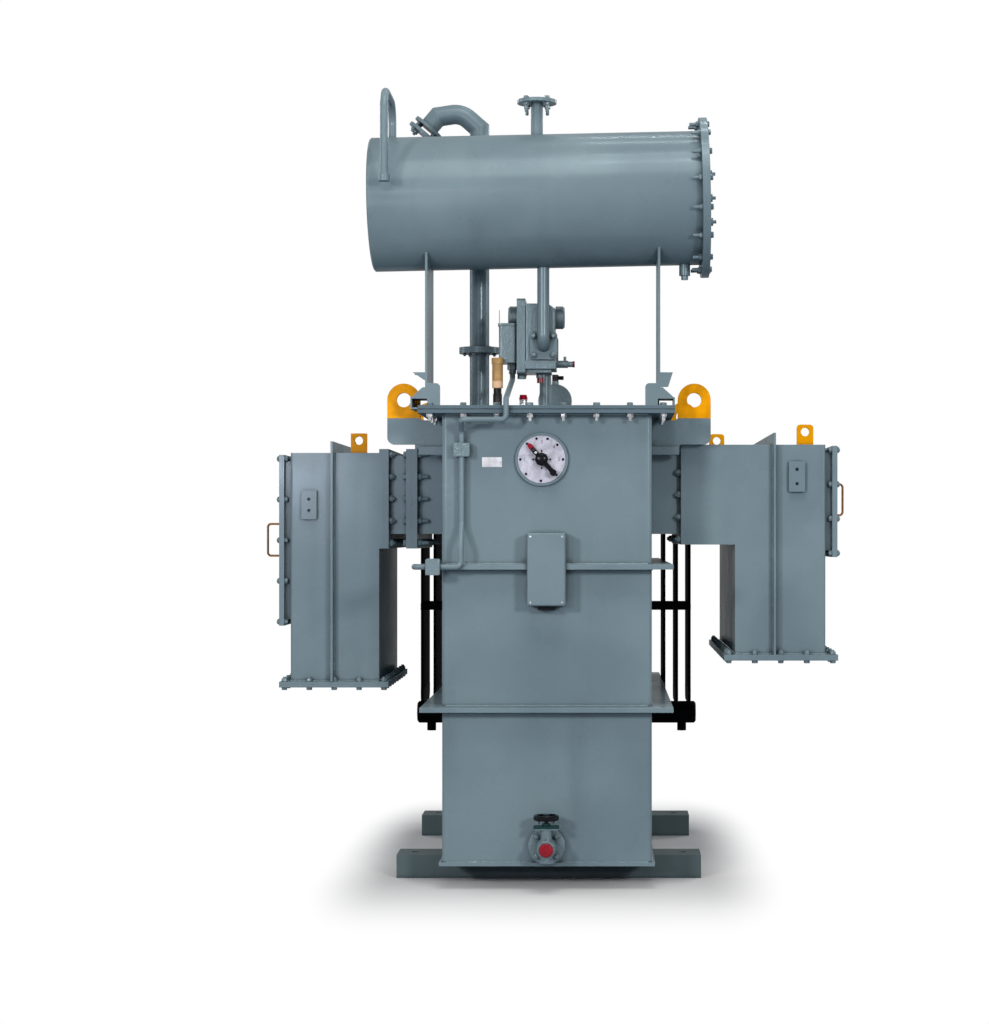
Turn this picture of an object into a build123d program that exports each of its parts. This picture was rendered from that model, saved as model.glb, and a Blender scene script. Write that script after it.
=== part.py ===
from build123d import *
import math
import os

# Oil-filled power transformer with cable boxes on both sides, a conservator on two plates
# above the cover and three-fin cooling radiators. Millimetres. X runs to the right as one
# faces the machine, Y runs away from the viewer and Z up from the floor. The origin is on
# the floor, in the middle of the whole outline.

# Tank
TANK_CENTRE_Y = 37
TANK_WIDTH = 700
TANK_LENGTH = 1750
TANK_WALL = 8
TANK_CORNER = 14
FLOOR_THICK = 12
FLOOR_LIP = 10
RIM_UNDERSIDE_Z = 1586
RIM_WIDTH = 75
RIM_THICK = 12
GASKET_THICK = 2
GASKET_INSET = 5
COVER_THICK = 12
COVER_EDGE_BREAK = 1.5

# Base rails, channels with the web up
RAIL_LENGTH = 1050
RAIL_WIDTH = 150
RAIL_HEIGHT = 80
RAIL_WEB = 10
RAIL_ROOT = 12
RAIL_SPACING = 1086
ANCHOR_INSET = 60
ANCHOR_RADIUS = 13

# Flat bars round the tank
BAND_PROJECTION = 70
BAND_THICK = 17
BAND_EDGE_BREAK = 2
LOWER_BAND_Z = 596
MIDDLE_BAND_Z = 1069

# Front terminal box
FRONT_BOX_WIDTH = 128
FRONT_BOX_DEPTH = 92
FRONT_BOX_BOTTOM_Z = 949
FRONT_BOX_HEIGHT = 241
FRONT_BOX_CORNER = 5
FRONT_LID_THICK = 3
FRONT_LID_INSET = 4
GLAND_BLOCK_WIDTH = 56
GLAND_BLOCK_HEIGHT = 14
GLAND_BLOCK_DEPTH = 60
BAND_NOTCH_GAP = 1

# Main lifting lugs
LUG_THICK = 22
LUG_BOX_GAP = 43
LUG_BOTTOM_Z = 1496
LUG_ARM_TOP_Z = 1580
LUG_EYE_REACH = 153
LUG_EYE_Z = 1650
LUG_LOBE_RADIUS = 57
LUG_EYE_RADIUS = 25
LUG_CORNER = 24
LUG_INNER_CORNER = 10
LUG_PAD_LENGTH = 100
LUG_PAD_HEIGHT = 28
LUG_PAD_WIDTH = 60
LUG_PAD_DROP = 8

# Sheet, cover and lug values that both cable boxes share
BOX_CORNER = 8
GLAND_PLATE_THICK = 10
STIFFENER_THICK = 8
STIFFENER_REACH = 40
INSPECTION_NECK = 26
INSPECTION_MARGIN = 45
COVER_PLATE = 18
PULL_RADIUS = 4
PULL_BEND = 12
PULL_FOOT_RADIUS = 8
PULL_FOOT_LENGTH = 6
SMALL_LUG_THICK = 12
SMALL_LUG_WIDTH = 58
SMALL_LUG_HOLE_UP = 43
SMALL_LUG_HOLE_RADIUS = 15
EARTH_PAD_THICK = 18
EARTH_PAD_CORNER = 3
EARTH_HOLE_RADIUS = 6
EARTH_HOLE_DEPTH = 12

# Low-voltage cable box, right side
LV_TURRET_PROJECTION = 109
LV_TURRET_INSET = 36
LV_TURRET_BOTTOM_Z = 1186
LV_TURRET_HEIGHT = 276
LV_FLANGE_THICK = 15.5
LV_BOX_WIDTH = 489.5
LV_BOX_TOP_Z = 1498
LV_BRIDGE_HEIGHT = 349
LV_LEG_WIDTH = 316
LV_LEG_HEIGHT = 732
LV_GLAND_OVERHANG = 40
LV_STIFFENER_INSET = 184
LV_LUG_FRONT_INSET = 68
LV_LUG_FRONT_BACK = 45
LV_LUG_REAR_INSET = 339
LV_LUG_REAR_BACK = 225
LV_EARTH_INSET = 101
LV_EARTH_DROP = 59
LV_EARTH_WIDTH = 57
LV_EARTH_HEIGHT = 106
LV_EARTH_SPACING = 50
LV_INSPECTION_DROP = 3
LV_INSPECTION_HEIGHT = 390
LV_PULL_DEPTH = 700
LV_PULL_DROP = 128
LV_PULL_HEIGHT = 113
LV_PULL_PROJECTION = 56

# High-voltage cable box, left side
HV_TURRET_PROJECTION = 125
HV_TURRET_LENGTH = 636
HV_TURRET_BOTTOM_Z = 1186
HV_TURRET_HEIGHT = 280
HV_FLANGE_LENGTH = 708
HV_FLANGE_TOP_OVER = 23
HV_FLANGE_BOTTOM_UNDER = 52
HV_INNER_FLANGE_THICK = 20
HV_OUTER_FLANGE_THICK = 17
HV_CHAMBER_LENGTH = 62
HV_BOX_LENGTH = 708
HV_BOX_WIDTH = 316
HV_BOX_TOP_Z = 1475
HV_BOX_HEIGHT = 814
HV_GLAND_OVERHANG = 36
HV_STIFFENER_INSET = 147
HV_LUG_INSET = 238
HV_LUG_BACK = 60
HV_EARTH_INSET = 68
HV_EARTH_DROP = 134
HV_EARTH_WIDTH = 54
HV_EARTH_HEIGHT = 103
HV_EARTH_SPACING = 40
HV_INSPECTION_DROP = 6
HV_INSPECTION_HEIGHT = 611
HV_PULL_DEPTH = 875
HV_PULL_DROP = 246
HV_PULL_HEIGHT = 118
HV_PULL_PROJECTION = 93

# Radiators, pressed fins with upright oil channels between two header pipes
FIN_FIRST_OFFSET = 79
FIN_PITCH = 50
FIN_COUNT = 3
FIN_THICK = 11
FIN_WIDTH = 340
FIN_WEB = 3
FIN_CHANNELS = 6
FIN_CHANNEL_WIDTH = 46
FIN_END_HEIGHT = 62
FIN_ROUND = 40
FIN_NECK_WIDTH = 56
RADIATOR_BOX_GAP = 10
HEADER_INSET = 175
HEADER_RADIUS = 44
HEADER_TAIL = 31
HEADER_END_CHAMFER = 7
HEADER_BOTTOM_Z = 468
HEADER_TOP_Z = 1500
TIE_BOTTOM_Z = 885
TIE_HEIGHT = 25
TIE_THICK = 6
RADIATOR_PLUG_RADIUS = 18
RADIATOR_PLUG_LENGTH = 30

# Conservator, a drum along X that rises to the right
DRUM_RADIUS = 230
DRUM_WALL = 6
DRUM_CENTRE_Z = 2339
DRUM_DEPTH = 300
DRUM_LEFT_X = -611
DRUM_RIGHT_X = 534
DRUM_SLOPE = 1.21
DRUM_END_THICK = 10
DRUM_END_CHAMFER = 5
END_FLANGE_WIDTH = 45
END_FLANGE_THICK = 12
END_COVER_THICK = 14
DRUM_PLUG_INSET = 64
DRUM_PLUG_RADIUS = 19
DRUM_PLUG_LENGTH = 38
DRUM_PLUG_TIP_RADIUS = 12
DRUM_PLUG_TIP_LENGTH = 14

# Oil-level gauge on the conservator's bolted end
GAUGE_PITCH = 83
GAUGE_FITTINGS = 3
GAUGE_NUT_FLATS = 24
GAUGE_NUT_LENGTH = 11
GAUGE_STEM_RADIUS = 6
GAUGE_STEM_LENGTH = 11
GAUGE_BODY_WIDTH = 34
GAUGE_BODY_THICK = 8
GAUGE_BODY_HEIGHT = 226
GAUGE_BODY_ROUND = 15

# Conservator supports, plates on short rectangular tubes
SUPPORT_THICK = 8
SUPPORT_WIDTH = 280
SUPPORT_LEFT_X = -415
SUPPORT_RIGHT_X = 378
FOOT_HEIGHT = 40
FOOT_WALL = 5
FOOT_INNER = 10
FOOT_OUTER = 54
FOOT_LUG_GAP = 6
GUSSET_THICK = 8
GUSSET_HEIGHT = 88
GUSSET_REACH = 43
GUSSET_ROUND = 14
FLARE_HEIGHT = 34
TAB_TOP_Z = 1737
TAB_REACH = 43
RIGHT_TAB_HEIGHT = 50
RIGHT_TAB_ROOT = 27
LEFT_TAB_HEIGHT = 26
LEFT_TAB_ROOT = 4
TAB_TOP_DEPTH = 30
SEAT_GAP = 0.2

# Breather pipe over the conservator's left end
BREATHER_INSET = 68
BREATHER_RADIUS = 13.5
BREATHER_WALL = 3
BREATHER_RISE = 115
BREATHER_END_Z = 2363
BREATHER_REACH = 300
BREATHER_BEND = 70
UNION_RADIUS = 19
UNION_LENGTH = 22
UNION_COLLAR_RADIUS = 16
UNION_COLLAR_LENGTH = 10

# Filling pipe on the conservator
FILLER_X = -42
FILLER_RADIUS = 21
PIPE_WALL = 3.5
FILLER_FLANGE_RADIUS = 68
FILLER_FLANGE_THICK = 6
FILLER_RISE = 108
PIPE_FLANGE_THICK = 11

# Explosion vent with a mitred gooseneck
VENT_X = -258
VENT_DEPTH = 610
VENT_RADIUS = 35
VENT_FLANGE_RADIUS = 73
VENT_FLANGE_Z = 1846
VENT_RISE_Z = 2645
VENT_CREST_OFF = 65
VENT_CREST_RISE = 57
VENT_RUN_OFF = 85
VENT_RUN_DROP = 13
VENT_CREST_BEND = 75
VENT_MOUTH_SLOPE = 50
VENT_MOUTH_LENGTH = 58
VENT_MOUTH_RADIUS = 58
VENT_MOUTH_THICK = 12
VENT_COVER_RADIUS = 62
VENT_COVER_THICK = 12
VENT_COVER_GAP = 16
VENT_STUD_CIRCLE = 47
VENT_STUD_RADIUS = 6
VENT_STUDS = 4

# Gas relay line between the conservator and the tank
RELAY_PIPE_X = -20
RELAY_PIPE_RADIUS = 21
RELAY_PIPE_BEND = 50
RELAY_AXIS_Z = 1842
RELAY_FRONT_DEPTH = 345
RELAY_LENGTH = 170
RELAY_DROP_RUN = 75
RELAY_FLANGE_SIZE = 96
RELAY_FLANGE_CORNER = 14
RELAY_FLANGE_THICK = 12
RELAY_LEFT_X = -84
RELAY_WIDTH = 104
RELAY_BOTTOM_Z = 1790
RELAY_TOP_Z = 1990
RELAY_SLOPE_WIDTH = 27
RELAY_SLOPE_DROP = 17
RELAY_EDGE_ROUND = 6
RELAY_BASE_HEIGHT = 28
RELAY_BASE_LIP = 3
RELAY_SUMP_HEIGHT = 12
RELAY_SUMP_INSET = 14
RELAY_SIDE_THICK = 30
RELAY_SIDE_BOTTOM_Z = 1746
RELAY_SIDE_TOP_Z = 2008
RELAY_SIDE_ROUND = 7
RELAY_WINDOW_RADIUS = 40
RELAY_WINDOW_REACH = 32
RELAY_WINDOW_CHAMFER = 6
RELAY_GLASS_RADIUS = 28
RELAY_GLASS_DEPTH = 5
RELAY_WINDOW_Z = 1948
RELAY_COCK_UP = 22
RELAY_COCK_REACH = 66
RELAY_COCK_RADIUS = 13
RELAY_COCK_TIP_RADIUS = 10
RELAY_COCK_TIP_LENGTH = 22
RELAY_KNOB_RADIUS = 5
RELAY_KNOB_HEIGHT = 14
RELAY_PLUG_X = -33
RELAY_PLUG_RADIUS = 13
RELAY_PLUG_LENGTH = 18
RELAY_NUT_FLATS = 27
RELAY_NUT_LENGTH = 14
RELAY_BOX_WIDTH = 64
RELAY_BOX_LENGTH = 110
RELAY_BOX_BOTTOM_Z = 1786
RELAY_BOX_TOP_Z = 1924
RELAY_BOX_CORNER = 10
RELAY_BOX_LIP = 3
RELAY_BOX_LIP_HEIGHT = 9
RELAY_GLAND_FLATS = 32
RELAY_GLAND_LENGTH = 22
RELAY_GLAND_RADIUS = 13
RELAY_GLAND_TAIL = 14
RELAY_GLAND_OFF = 14

# Conduit from the relay's terminal box down the tank's front
CONDUIT_RADIUS = 9.5
CONDUIT_INSET = 68
CONDUIT_OFF = 32
CONDUIT_BEND = 34
CONDUIT_RIM_GAP = 14
CONDUIT_BAND_GAP = 5
CONDUIT_DROP = 20
CONDUIT_OVER_COVER = 20
CONDUIT_TOP_Z = 1563
CONDUIT_LOW_Z = 1078
CONDUIT_SLANT_Z = 1218
CONDUIT_SLANT_HEIGHT = 70
CONDUIT_TAIL = 39
CLAMP_WIDTH = 54
CLAMP_HEIGHT = 46
CLAMP_GAP = 5
CLAMP_TOP_Z = 1489
CLAMP_EDGE_ROUND = 6
JUNCTION_WIDTH = 47
JUNCTION_HEIGHT = 54
JUNCTION_DEPTH = 44
JUNCTION_OVERHANG = 47

# Cover fittings
POCKET_X = -82
POCKET_DEPTH = 100
POCKET_RADIUS = 13
POCKET_HEIGHT = 26
POCKET_FLATS = 30
POCKET_NUT_HEIGHT = 8
POCKET_CAP_RADIUS = 16
POCKET_CAP_HEIGHT = 18
POCKET_CAP_TOP_RADIUS = 12
BULB_X = -181
BULB_DEPTH = 350
BULB_BASE_RADIUS = 16
BULB_BASE_HEIGHT = 62
BULB_COLLAR_RADIUS = 14
BULB_COLLAR_HEIGHT = 21
BULB_RADIUS = 19
BULB_HEIGHT = 84
BULB_CAP_RADIUS = 21
BULB_CAP_HEIGHT = 21
FILTER_X = 10
FILTER_DEPTH = 850
FILTER_AXIS_Z = 1676
FILTER_PIPE_RADIUS = 24
FILTER_FLANGE_RADIUS = 62
FILTER_BODY_RADIUS = 36
FILTER_BODY_LENGTH = 70
FILTER_TOWER_RADIUS = 13
FILTER_TOWER_TOP_Z = 1752
LEVER_REACH = 31
LEVER_WIDTH = 15
LEVER_THICK = 14
LEVER_HUB_RADIUS = 12
LEVER_HUB_HEIGHT = 24
LEVER_STEM_RADIUS = 6
LEVER_STEM_DEPTH = 40
RUNNING_GAP = 0.08
END_GAP = 0.3

# Tap switch on the tank's front
DIAL_X = -17
DIAL_Z = 1434.5
DIAL_RIM_RADIUS = 88
DIAL_RIM_THICK = 14
DIAL_RADIUS = 79
DIAL_THICK = 3
SPINDLE_RADIUS = 9
HUB_RADIUS = 21
HUB_THICK = 12
HANDLE_STANDOFF = 6
HANDLE_LENGTH = 134
HANDLE_WIDTH = 15
HANDLE_THICK = 10
HANDLE_HOLE_RADIUS = 4
HANDLE_HOLE_OFF = 42
HANDLE_KNOB_RADIUS = 11
HANDLE_KNOB_LENGTH = 20
HANDLE_KNOB_CHAMFER = 2
HANDLE_ANGLE = 131

# Drain valve at the foot of the tank's front
DRAIN_Z = 151
DRAIN_FLANGE_RADIUS = 61
DRAIN_FLANGE_THICK = 12
DRAIN_NECK_RADIUS = 26
DRAIN_NECK_LENGTH = 14
DRAIN_BODY_RADIUS = 34
DRAIN_WAIST_RADIUS = 25
DRAIN_STEM_OFF = 88
DRAIN_OUTLET_OFF = 134
DRAIN_OUTLET_RADIUS = 30
DRAIN_OUTLET_LENGTH = 16
DRAIN_PLUG_RADIUS = 23
DRAIN_PLUG_REACH = 14
DRAIN_PLUG_CHAMFER = 4
BONNET_RADIUS = 19
BONNET_TOP_Z = 212
BONNET_BAR_WIDTH = 84
BONNET_BAR_DEPTH = 40
BONNET_BAR_HEIGHT = 13
BONNET_BAR_ROUND = 12
GLAND_RADIUS = 13
GLAND_HEIGHT = 8
STEM_RADIUS = 6
STEM_DEPTH = 40
WHEEL_Z = 252
WHEEL_RADIUS = 42
WHEEL_RIM_WIDTH = 9
WHEEL_RIM_HEIGHT = 17
WHEEL_RIM_CHAMFER = 3
WHEEL_HUB_RADIUS = 12
WHEEL_HUB_HEIGHT = 20
WHEEL_SPOKES = 5
WHEEL_SPOKE_WIDTH = 9
WHEEL_SPOKE_THICK = 6

# Overrun for cuts, and the sides of a nut
OVER = 5
HEX_SIDES = 6

# Places that follow from the sizes above
FRONT_Y = TANK_CENTRE_Y - TANK_LENGTH / 2
BACK_Y = TANK_CENTRE_Y + TANK_LENGTH / 2
SIDE_X = TANK_WIDTH / 2
FLOOR_TOP_Z = RAIL_HEIGHT + FLOOR_THICK
RIM_TOP_Z = RIM_UNDERSIDE_Z + RIM_THICK
COVER_UNDERSIDE_Z = RIM_TOP_Z + GASKET_THICK
COVER_TOP_Z = COVER_UNDERSIDE_Z + COVER_THICK
DRUM_CENTRE = Vector(0, FRONT_Y + DRUM_DEPTH, DRUM_CENTRE_Z)
DRUM_SLOPE_TAN = math.tan(math.radians(DRUM_SLOPE))
DRUM_TOP_Z = DRUM_CENTRE_Z + DRUM_RADIUS
END_FLANGE_RADIUS = DRUM_RADIUS + END_FLANGE_WIDTH

UP = Vector(0, 0, 1)
DOWN = Vector(0, 0, -1)
RIGHT = Vector(1, 0, 0)
LEFT = Vector(-1, 0, 0)
FORWARD = Vector(0, -1, 0)
BACKWARD = Vector(0, 1, 0)


def middle_of(pair):
    """The middle of a pair of limits."""
    return (pair[0] + pair[1]) / 2


def about(centre, size):
    """The two limits of a size that is centred on a place."""
    return (centre - size / 2, centre + size / 2)


def block(x, y, z):
    """A block between two limits on each axis."""
    sizes = [abs(pair[1] - pair[0]) for pair in (x, y, z)]
    return Pos(middle_of(x), middle_of(y), middle_of(z)) * Box(*sizes)


def rod(foot, direction, length, radius):
    """A round bar that starts at foot and runs in direction."""
    lower_end = (Align.CENTER, Align.CENTER, Align.MIN)
    return Plane(origin=foot, z_dir=direction) * Cylinder(radius, length, align=lower_end)


def hexagon(foot, direction, length, across_flats):
    """A six-sided bar that starts at foot and runs in direction."""
    outline = RegularPolygon(across_flats / 2, HEX_SIDES, major_radius=False)
    return extrude(Plane(origin=foot, z_dir=direction) * outline, length)


def turned(foot, direction, *stages):
    """A turned solid. Each stage gives its length, its first radius and its last radius."""
    points = [(0, 0)]
    height = 0
    for length, first_radius, last_radius in stages:
        if points[-1] != (first_radius, height):
            points.append((first_radius, height))
        height += length
        points.append((last_radius, height))
    points.append((0, height))
    section = make_face(Plane.XZ * Polyline(*points, close=True))
    return Plane(origin=foot, z_dir=direction) * revolve(section, Axis.Z)


def bent(points, bend, section):
    """A section carried along straight runs that are joined by arcs."""
    path = FilletPolyline(*points, radius=bend)
    start = Plane(origin=path @ 0, z_dir=path % 0)
    return sweep(start * section, path=path)


def tube_section(radius, wall):
    """The ring that a pipe shows when it is cut across."""
    return Circle(radius) - Circle(radius - wall)


def rectangle_between(first, second):
    """A flat rectangle between two pairs of limits."""
    sizes = [abs(pair[1] - pair[0]) for pair in (first, second)]
    return Pos(middle_of(first), middle_of(second)) * Rectangle(*sizes)


def plate_xz(outline, y):
    """A plate with its outline in X and Z, between two limits in Y."""
    face = Plane(origin=(0, y[1], 0), x_dir=RIGHT, z_dir=FORWARD) * outline
    return extrude(face, y[1] - y[0])


def plate_yz(outline, x):
    """A plate with its outline in Y and Z, between two limits in X."""
    face = Plane(origin=(x[0], 0, 0), x_dir=BACKWARD, z_dir=RIGHT) * outline
    return extrude(face, x[1] - x[0])


def plate_xy(outline, z):
    """A plate with its outline in plan, between two heights."""
    return extrude(Pos(0, 0, z[0]) * outline, z[1] - z[0])


def mirrored(shape, plane=Plane.YZ):
    """The shape on the other side of a plane."""
    return mirror(shape, about=plane)


def nearest_vertex(shape, place):
    """The corner of a flat outline that lies nearest to a place."""
    return shape.vertices().sort_by_distance(place)[0]


def save(name, *solids):
    """Writes the solids of one node to its file."""
    body = solids[0] if len(solids) == 1 else Compound(children=list(solids))
    body.label = name
    export_step(body, os.path.join("parts", name + ".step"))


def base_rail(sign):
    """A channel laid web up, with an anchor hole near each end."""
    centre_y = TANK_CENTRE_Y + sign * RAIL_SPACING / 2
    outside = rectangle_between(about(centre_y, RAIL_WIDTH), (0, RAIL_HEIGHT))
    hollow_y = about(centre_y, RAIL_WIDTH - RAIL_WEB * 2)
    hollow = rectangle_between(hollow_y, (0, RAIL_HEIGHT - RAIL_WEB))
    for y in hollow_y:
        hollow = fillet(nearest_vertex(hollow, (y, RAIL_HEIGHT - RAIL_WEB, 0)), RAIL_ROOT)
    rail = plate_yz(outside - hollow, about(0, RAIL_LENGTH))
    for side in (-1, 1):
        foot = Vector(side * (RAIL_LENGTH / 2 - ANCHOR_INSET), centre_y, 0)
        rail -= rod(foot, UP, RAIL_HEIGHT + OVER, ANCHOR_RADIUS)
    return rail


def tank_outline(reach=0):
    """The tank seen from above, or an outline at a distance outside its walls."""
    sizes = (TANK_WIDTH + reach * 2, TANK_LENGTH + reach * 2)
    return Pos(0, TANK_CENTRE_Y) * RectangleRounded(*sizes, TANK_CORNER + reach)


def plan_round_tank(reach):
    """The plan of a flat bar that fits round the tank."""
    outside = Rectangle(TANK_WIDTH + reach * 2, TANK_LENGTH + reach * 2)
    return Pos(0, TANK_CENTRE_Y) * outside - tank_outline()


def tank_floor():
    """The floor plate with its welding lip."""
    outline = Rectangle(TANK_WIDTH + FLOOR_LIP * 2, TANK_LENGTH + FLOOR_LIP * 2)
    return plate_xy(Pos(0, TANK_CENTRE_Y) * outline, (RAIL_HEIGHT, FLOOR_TOP_Z))


def throat(y, z, x):
    """The passage for the conductors between a cable box and the tank."""
    inner_y = (y[0] + TANK_WALL, y[1] - TANK_WALL)
    inner_z = (z[0] + TANK_WALL, z[1] - TANK_WALL)
    return block((x[0] - OVER, x[1] + OVER), inner_y, inner_z)


RADIATOR_Y = BACK_Y - HEADER_INSET
LV_BOX_BACK_Y = RADIATOR_Y - FIN_WIDTH / 2 - RADIATOR_BOX_GAP
LV_BOX_Y = (TANK_CENTRE_Y * 2 - LV_BOX_BACK_Y, LV_BOX_BACK_Y)
LUG_Y = (LV_BOX_Y[0] - LUG_BOX_GAP - LUG_THICK, LV_BOX_Y[0] - LUG_BOX_GAP)
LV_TURRET_Y = (LV_BOX_Y[0] + LV_TURRET_INSET, LV_BOX_Y[1] - LV_TURRET_INSET)
LV_TURRET_Z = (LV_TURRET_BOTTOM_Z, LV_TURRET_BOTTOM_Z + LV_TURRET_HEIGHT)
HV_TURRET_Y = about(TANK_CENTRE_Y, HV_TURRET_LENGTH)
HV_TURRET_Z = (HV_TURRET_BOTTOM_Z, HV_TURRET_BOTTOM_Z + HV_TURRET_HEIGHT)


def tank_shell():
    """The four walls, with the throats of both cable boxes cut through."""
    walls = tank_outline() - tank_outline(-TANK_WALL)
    shell = plate_xy(walls, (FLOOR_TOP_Z, RIM_TOP_Z))
    shell -= throat(LV_TURRET_Y, LV_TURRET_Z, (SIDE_X - TANK_WALL, SIDE_X))
    return shell - throat(HV_TURRET_Y, HV_TURRET_Z, (-SIDE_X, -SIDE_X + TANK_WALL))


def tank_rim():
    """The flange welded round the top of the walls."""
    return plate_xy(plan_round_tank(RIM_WIDTH), (RIM_UNDERSIDE_Z, RIM_TOP_Z))


def cover_gasket():
    """The thin ring between the flange and the cover."""
    return plate_xy(plan_round_tank(RIM_WIDTH - GASKET_INSET), (RIM_TOP_Z, COVER_UNDERSIDE_Z))


def tank_cover():
    """The bolted cover plate, with its edges broken."""
    outline = Rectangle(TANK_WIDTH + RIM_WIDTH * 2, TANK_LENGTH + RIM_WIDTH * 2)
    cover = plate_xy(Pos(0, TANK_CENTRE_Y) * outline, (COVER_UNDERSIDE_Z, COVER_TOP_Z))
    return chamfer(cover.faces().sort_by(Axis.Z)[-1].edges(), COVER_EDGE_BREAK)


def tank_band(bottom_z):
    """A flat bar round the tank, with its outer edges broken."""
    band = plate_xy(plan_round_tank(BAND_PROJECTION), (bottom_z, bottom_z + BAND_THICK))
    top_edges = band.faces().sort_by(Axis.Z)[-1].outer_wire().edges()
    return chamfer(top_edges, BAND_EDGE_BREAK)


def middle_band():
    """The middle flat bar, cut away for the front terminal box."""
    notch_x = about(0, FRONT_BOX_WIDTH + BAND_NOTCH_GAP * 2)
    notch_y = (FRONT_Y - BAND_PROJECTION - OVER, FRONT_Y)
    notch_z = (MIDDLE_BAND_Z - OVER, MIDDLE_BAND_Z + BAND_THICK + OVER)
    return tank_band(MIDDLE_BAND_Z) - block(notch_x, notch_y, notch_z)


def front_terminal_box():
    """The terminal box on the tank's front, with its raised lid and gland block."""
    x = about(0, FRONT_BOX_WIDTH)
    z = (FRONT_BOX_BOTTOM_Z, FRONT_BOX_BOTTOM_Z + FRONT_BOX_HEIGHT)
    face_y = FRONT_Y - FRONT_BOX_DEPTH
    box = block(x, (face_y, FRONT_Y), z)
    front_edges = box.faces().sort_by(Axis.Y)[0].edges()
    box = fillet(box.edges().filter_by(Axis.Y) + front_edges, FRONT_BOX_CORNER)
    lid_x = about(0, FRONT_BOX_WIDTH - FRONT_LID_INSET * 2)
    lid_z = (z[0] + FRONT_LID_INSET, z[1] - FRONT_LID_INSET)
    lid = block(lid_x, (face_y - FRONT_LID_THICK, face_y + FRONT_BOX_CORNER), lid_z)
    box += fillet(lid.edges().filter_by(Axis.Y), FRONT_BOX_CORNER)
    gland_y = (FRONT_Y - GLAND_BLOCK_DEPTH, FRONT_Y)
    gland_z = (FRONT_BOX_BOTTOM_Z - GLAND_BLOCK_HEIGHT, FRONT_BOX_BOTTOM_Z)
    return box + block(about(0, GLAND_BLOCK_WIDTH), gland_y, gland_z)


def lifting_lug():
    """The L-shaped lug at the front of the right wall, with its eye and pad."""
    eye_x = SIDE_X + LUG_EYE_REACH
    reach = eye_x + LUG_LOBE_RADIUS
    arm = rectangle_between((SIDE_X, reach), (LUG_BOTTOM_Z, LUG_ARM_TOP_Z))
    riser_x = (eye_x - LUG_LOBE_RADIUS, reach)
    riser = rectangle_between(riser_x, (LUG_BOTTOM_Z, LUG_EYE_Z))
    outline = arm + riser + Pos(eye_x, LUG_EYE_Z) * Circle(LUG_LOBE_RADIUS)
    outline = fillet(nearest_vertex(outline, (reach, LUG_BOTTOM_Z, 0)), LUG_CORNER)
    outline = fillet(nearest_vertex(outline, (riser_x[0], LUG_ARM_TOP_Z, 0)), LUG_INNER_CORNER)
    outline -= Pos(eye_x, LUG_EYE_Z) * Circle(LUG_EYE_RADIUS)
    pad_top = LUG_BOTTOM_Z - LUG_PAD_DROP
    pad_x = (SIDE_X, SIDE_X + LUG_PAD_LENGTH)
    outline += rectangle_between(pad_x, (pad_top, LUG_BOTTOM_Z))
    pad_y = about(middle_of(LUG_Y), LUG_PAD_WIDTH)
    return plate_xz(outline, LUG_Y) + block(pad_x, pad_y, (pad_top - LUG_PAD_HEIGHT, pad_top))


def lifting_lugs():
    """The four main lugs, two on each wall."""
    front = lifting_lug()
    rear = mirrored(front, Plane(origin=(0, TANK_CENTRE_Y, 0), z_dir=BACKWARD))
    save("lifting_lugs_right", front, rear)
    save("lifting_lugs_left", mirrored(front), mirrored(rear))


LV_TURRET_END_X = SIDE_X + LV_TURRET_PROJECTION
LV_JOINT_X = LV_TURRET_END_X + LV_FLANGE_THICK
LV_OUTER_X = LV_JOINT_X + LV_BOX_WIDTH
LV_LEG_X = (LV_OUTER_X - LV_LEG_WIDTH, LV_OUTER_X)
LV_LEG_BOTTOM_Z = LV_BOX_TOP_Z - LV_LEG_HEIGHT
LV_BRIDGE_BOTTOM_Z = LV_BOX_TOP_Z - LV_BRIDGE_HEIGHT
LV_COVER_X = LV_OUTER_X + INSPECTION_NECK
LV_INSPECTION_TOP_Z = LV_BOX_TOP_Z - LV_INSPECTION_DROP
LV_INSPECTION_Z = (LV_INSPECTION_TOP_Z - LV_INSPECTION_HEIGHT, LV_INSPECTION_TOP_Z)
HV_BOX_Y = about(TANK_CENTRE_Y, HV_BOX_LENGTH)
HV_FLANGE_Y = about(TANK_CENTRE_Y, HV_FLANGE_LENGTH)
HV_FLANGE_Z = (HV_TURRET_Z[0] - HV_FLANGE_BOTTOM_UNDER, HV_TURRET_Z[1] + HV_FLANGE_TOP_OVER)
HV_TURRET_END_X = SIDE_X + HV_TURRET_PROJECTION
HV_INNER_JOINT_X = HV_TURRET_END_X + HV_INNER_FLANGE_THICK
HV_CHAMBER_START_X = HV_INNER_JOINT_X + HV_INNER_FLANGE_THICK
HV_CHAMBER_END_X = HV_CHAMBER_START_X + HV_CHAMBER_LENGTH
HV_OUTER_JOINT_X = HV_CHAMBER_END_X + HV_OUTER_FLANGE_THICK
HV_BOX_START_X = HV_OUTER_JOINT_X + HV_OUTER_FLANGE_THICK
HV_OUTER_X = HV_BOX_START_X + HV_BOX_WIDTH
HV_LEG_X = (-HV_OUTER_X, -HV_BOX_START_X)
HV_BOX_BOTTOM_Z = HV_BOX_TOP_Z - HV_BOX_HEIGHT
HV_COVER_X = HV_OUTER_X + INSPECTION_NECK
HV_INSPECTION_TOP_Z = HV_BOX_TOP_Z - HV_INSPECTION_DROP
HV_INSPECTION_Z = (HV_INSPECTION_TOP_Z - HV_INSPECTION_HEIGHT, HV_INSPECTION_TOP_Z)


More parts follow.
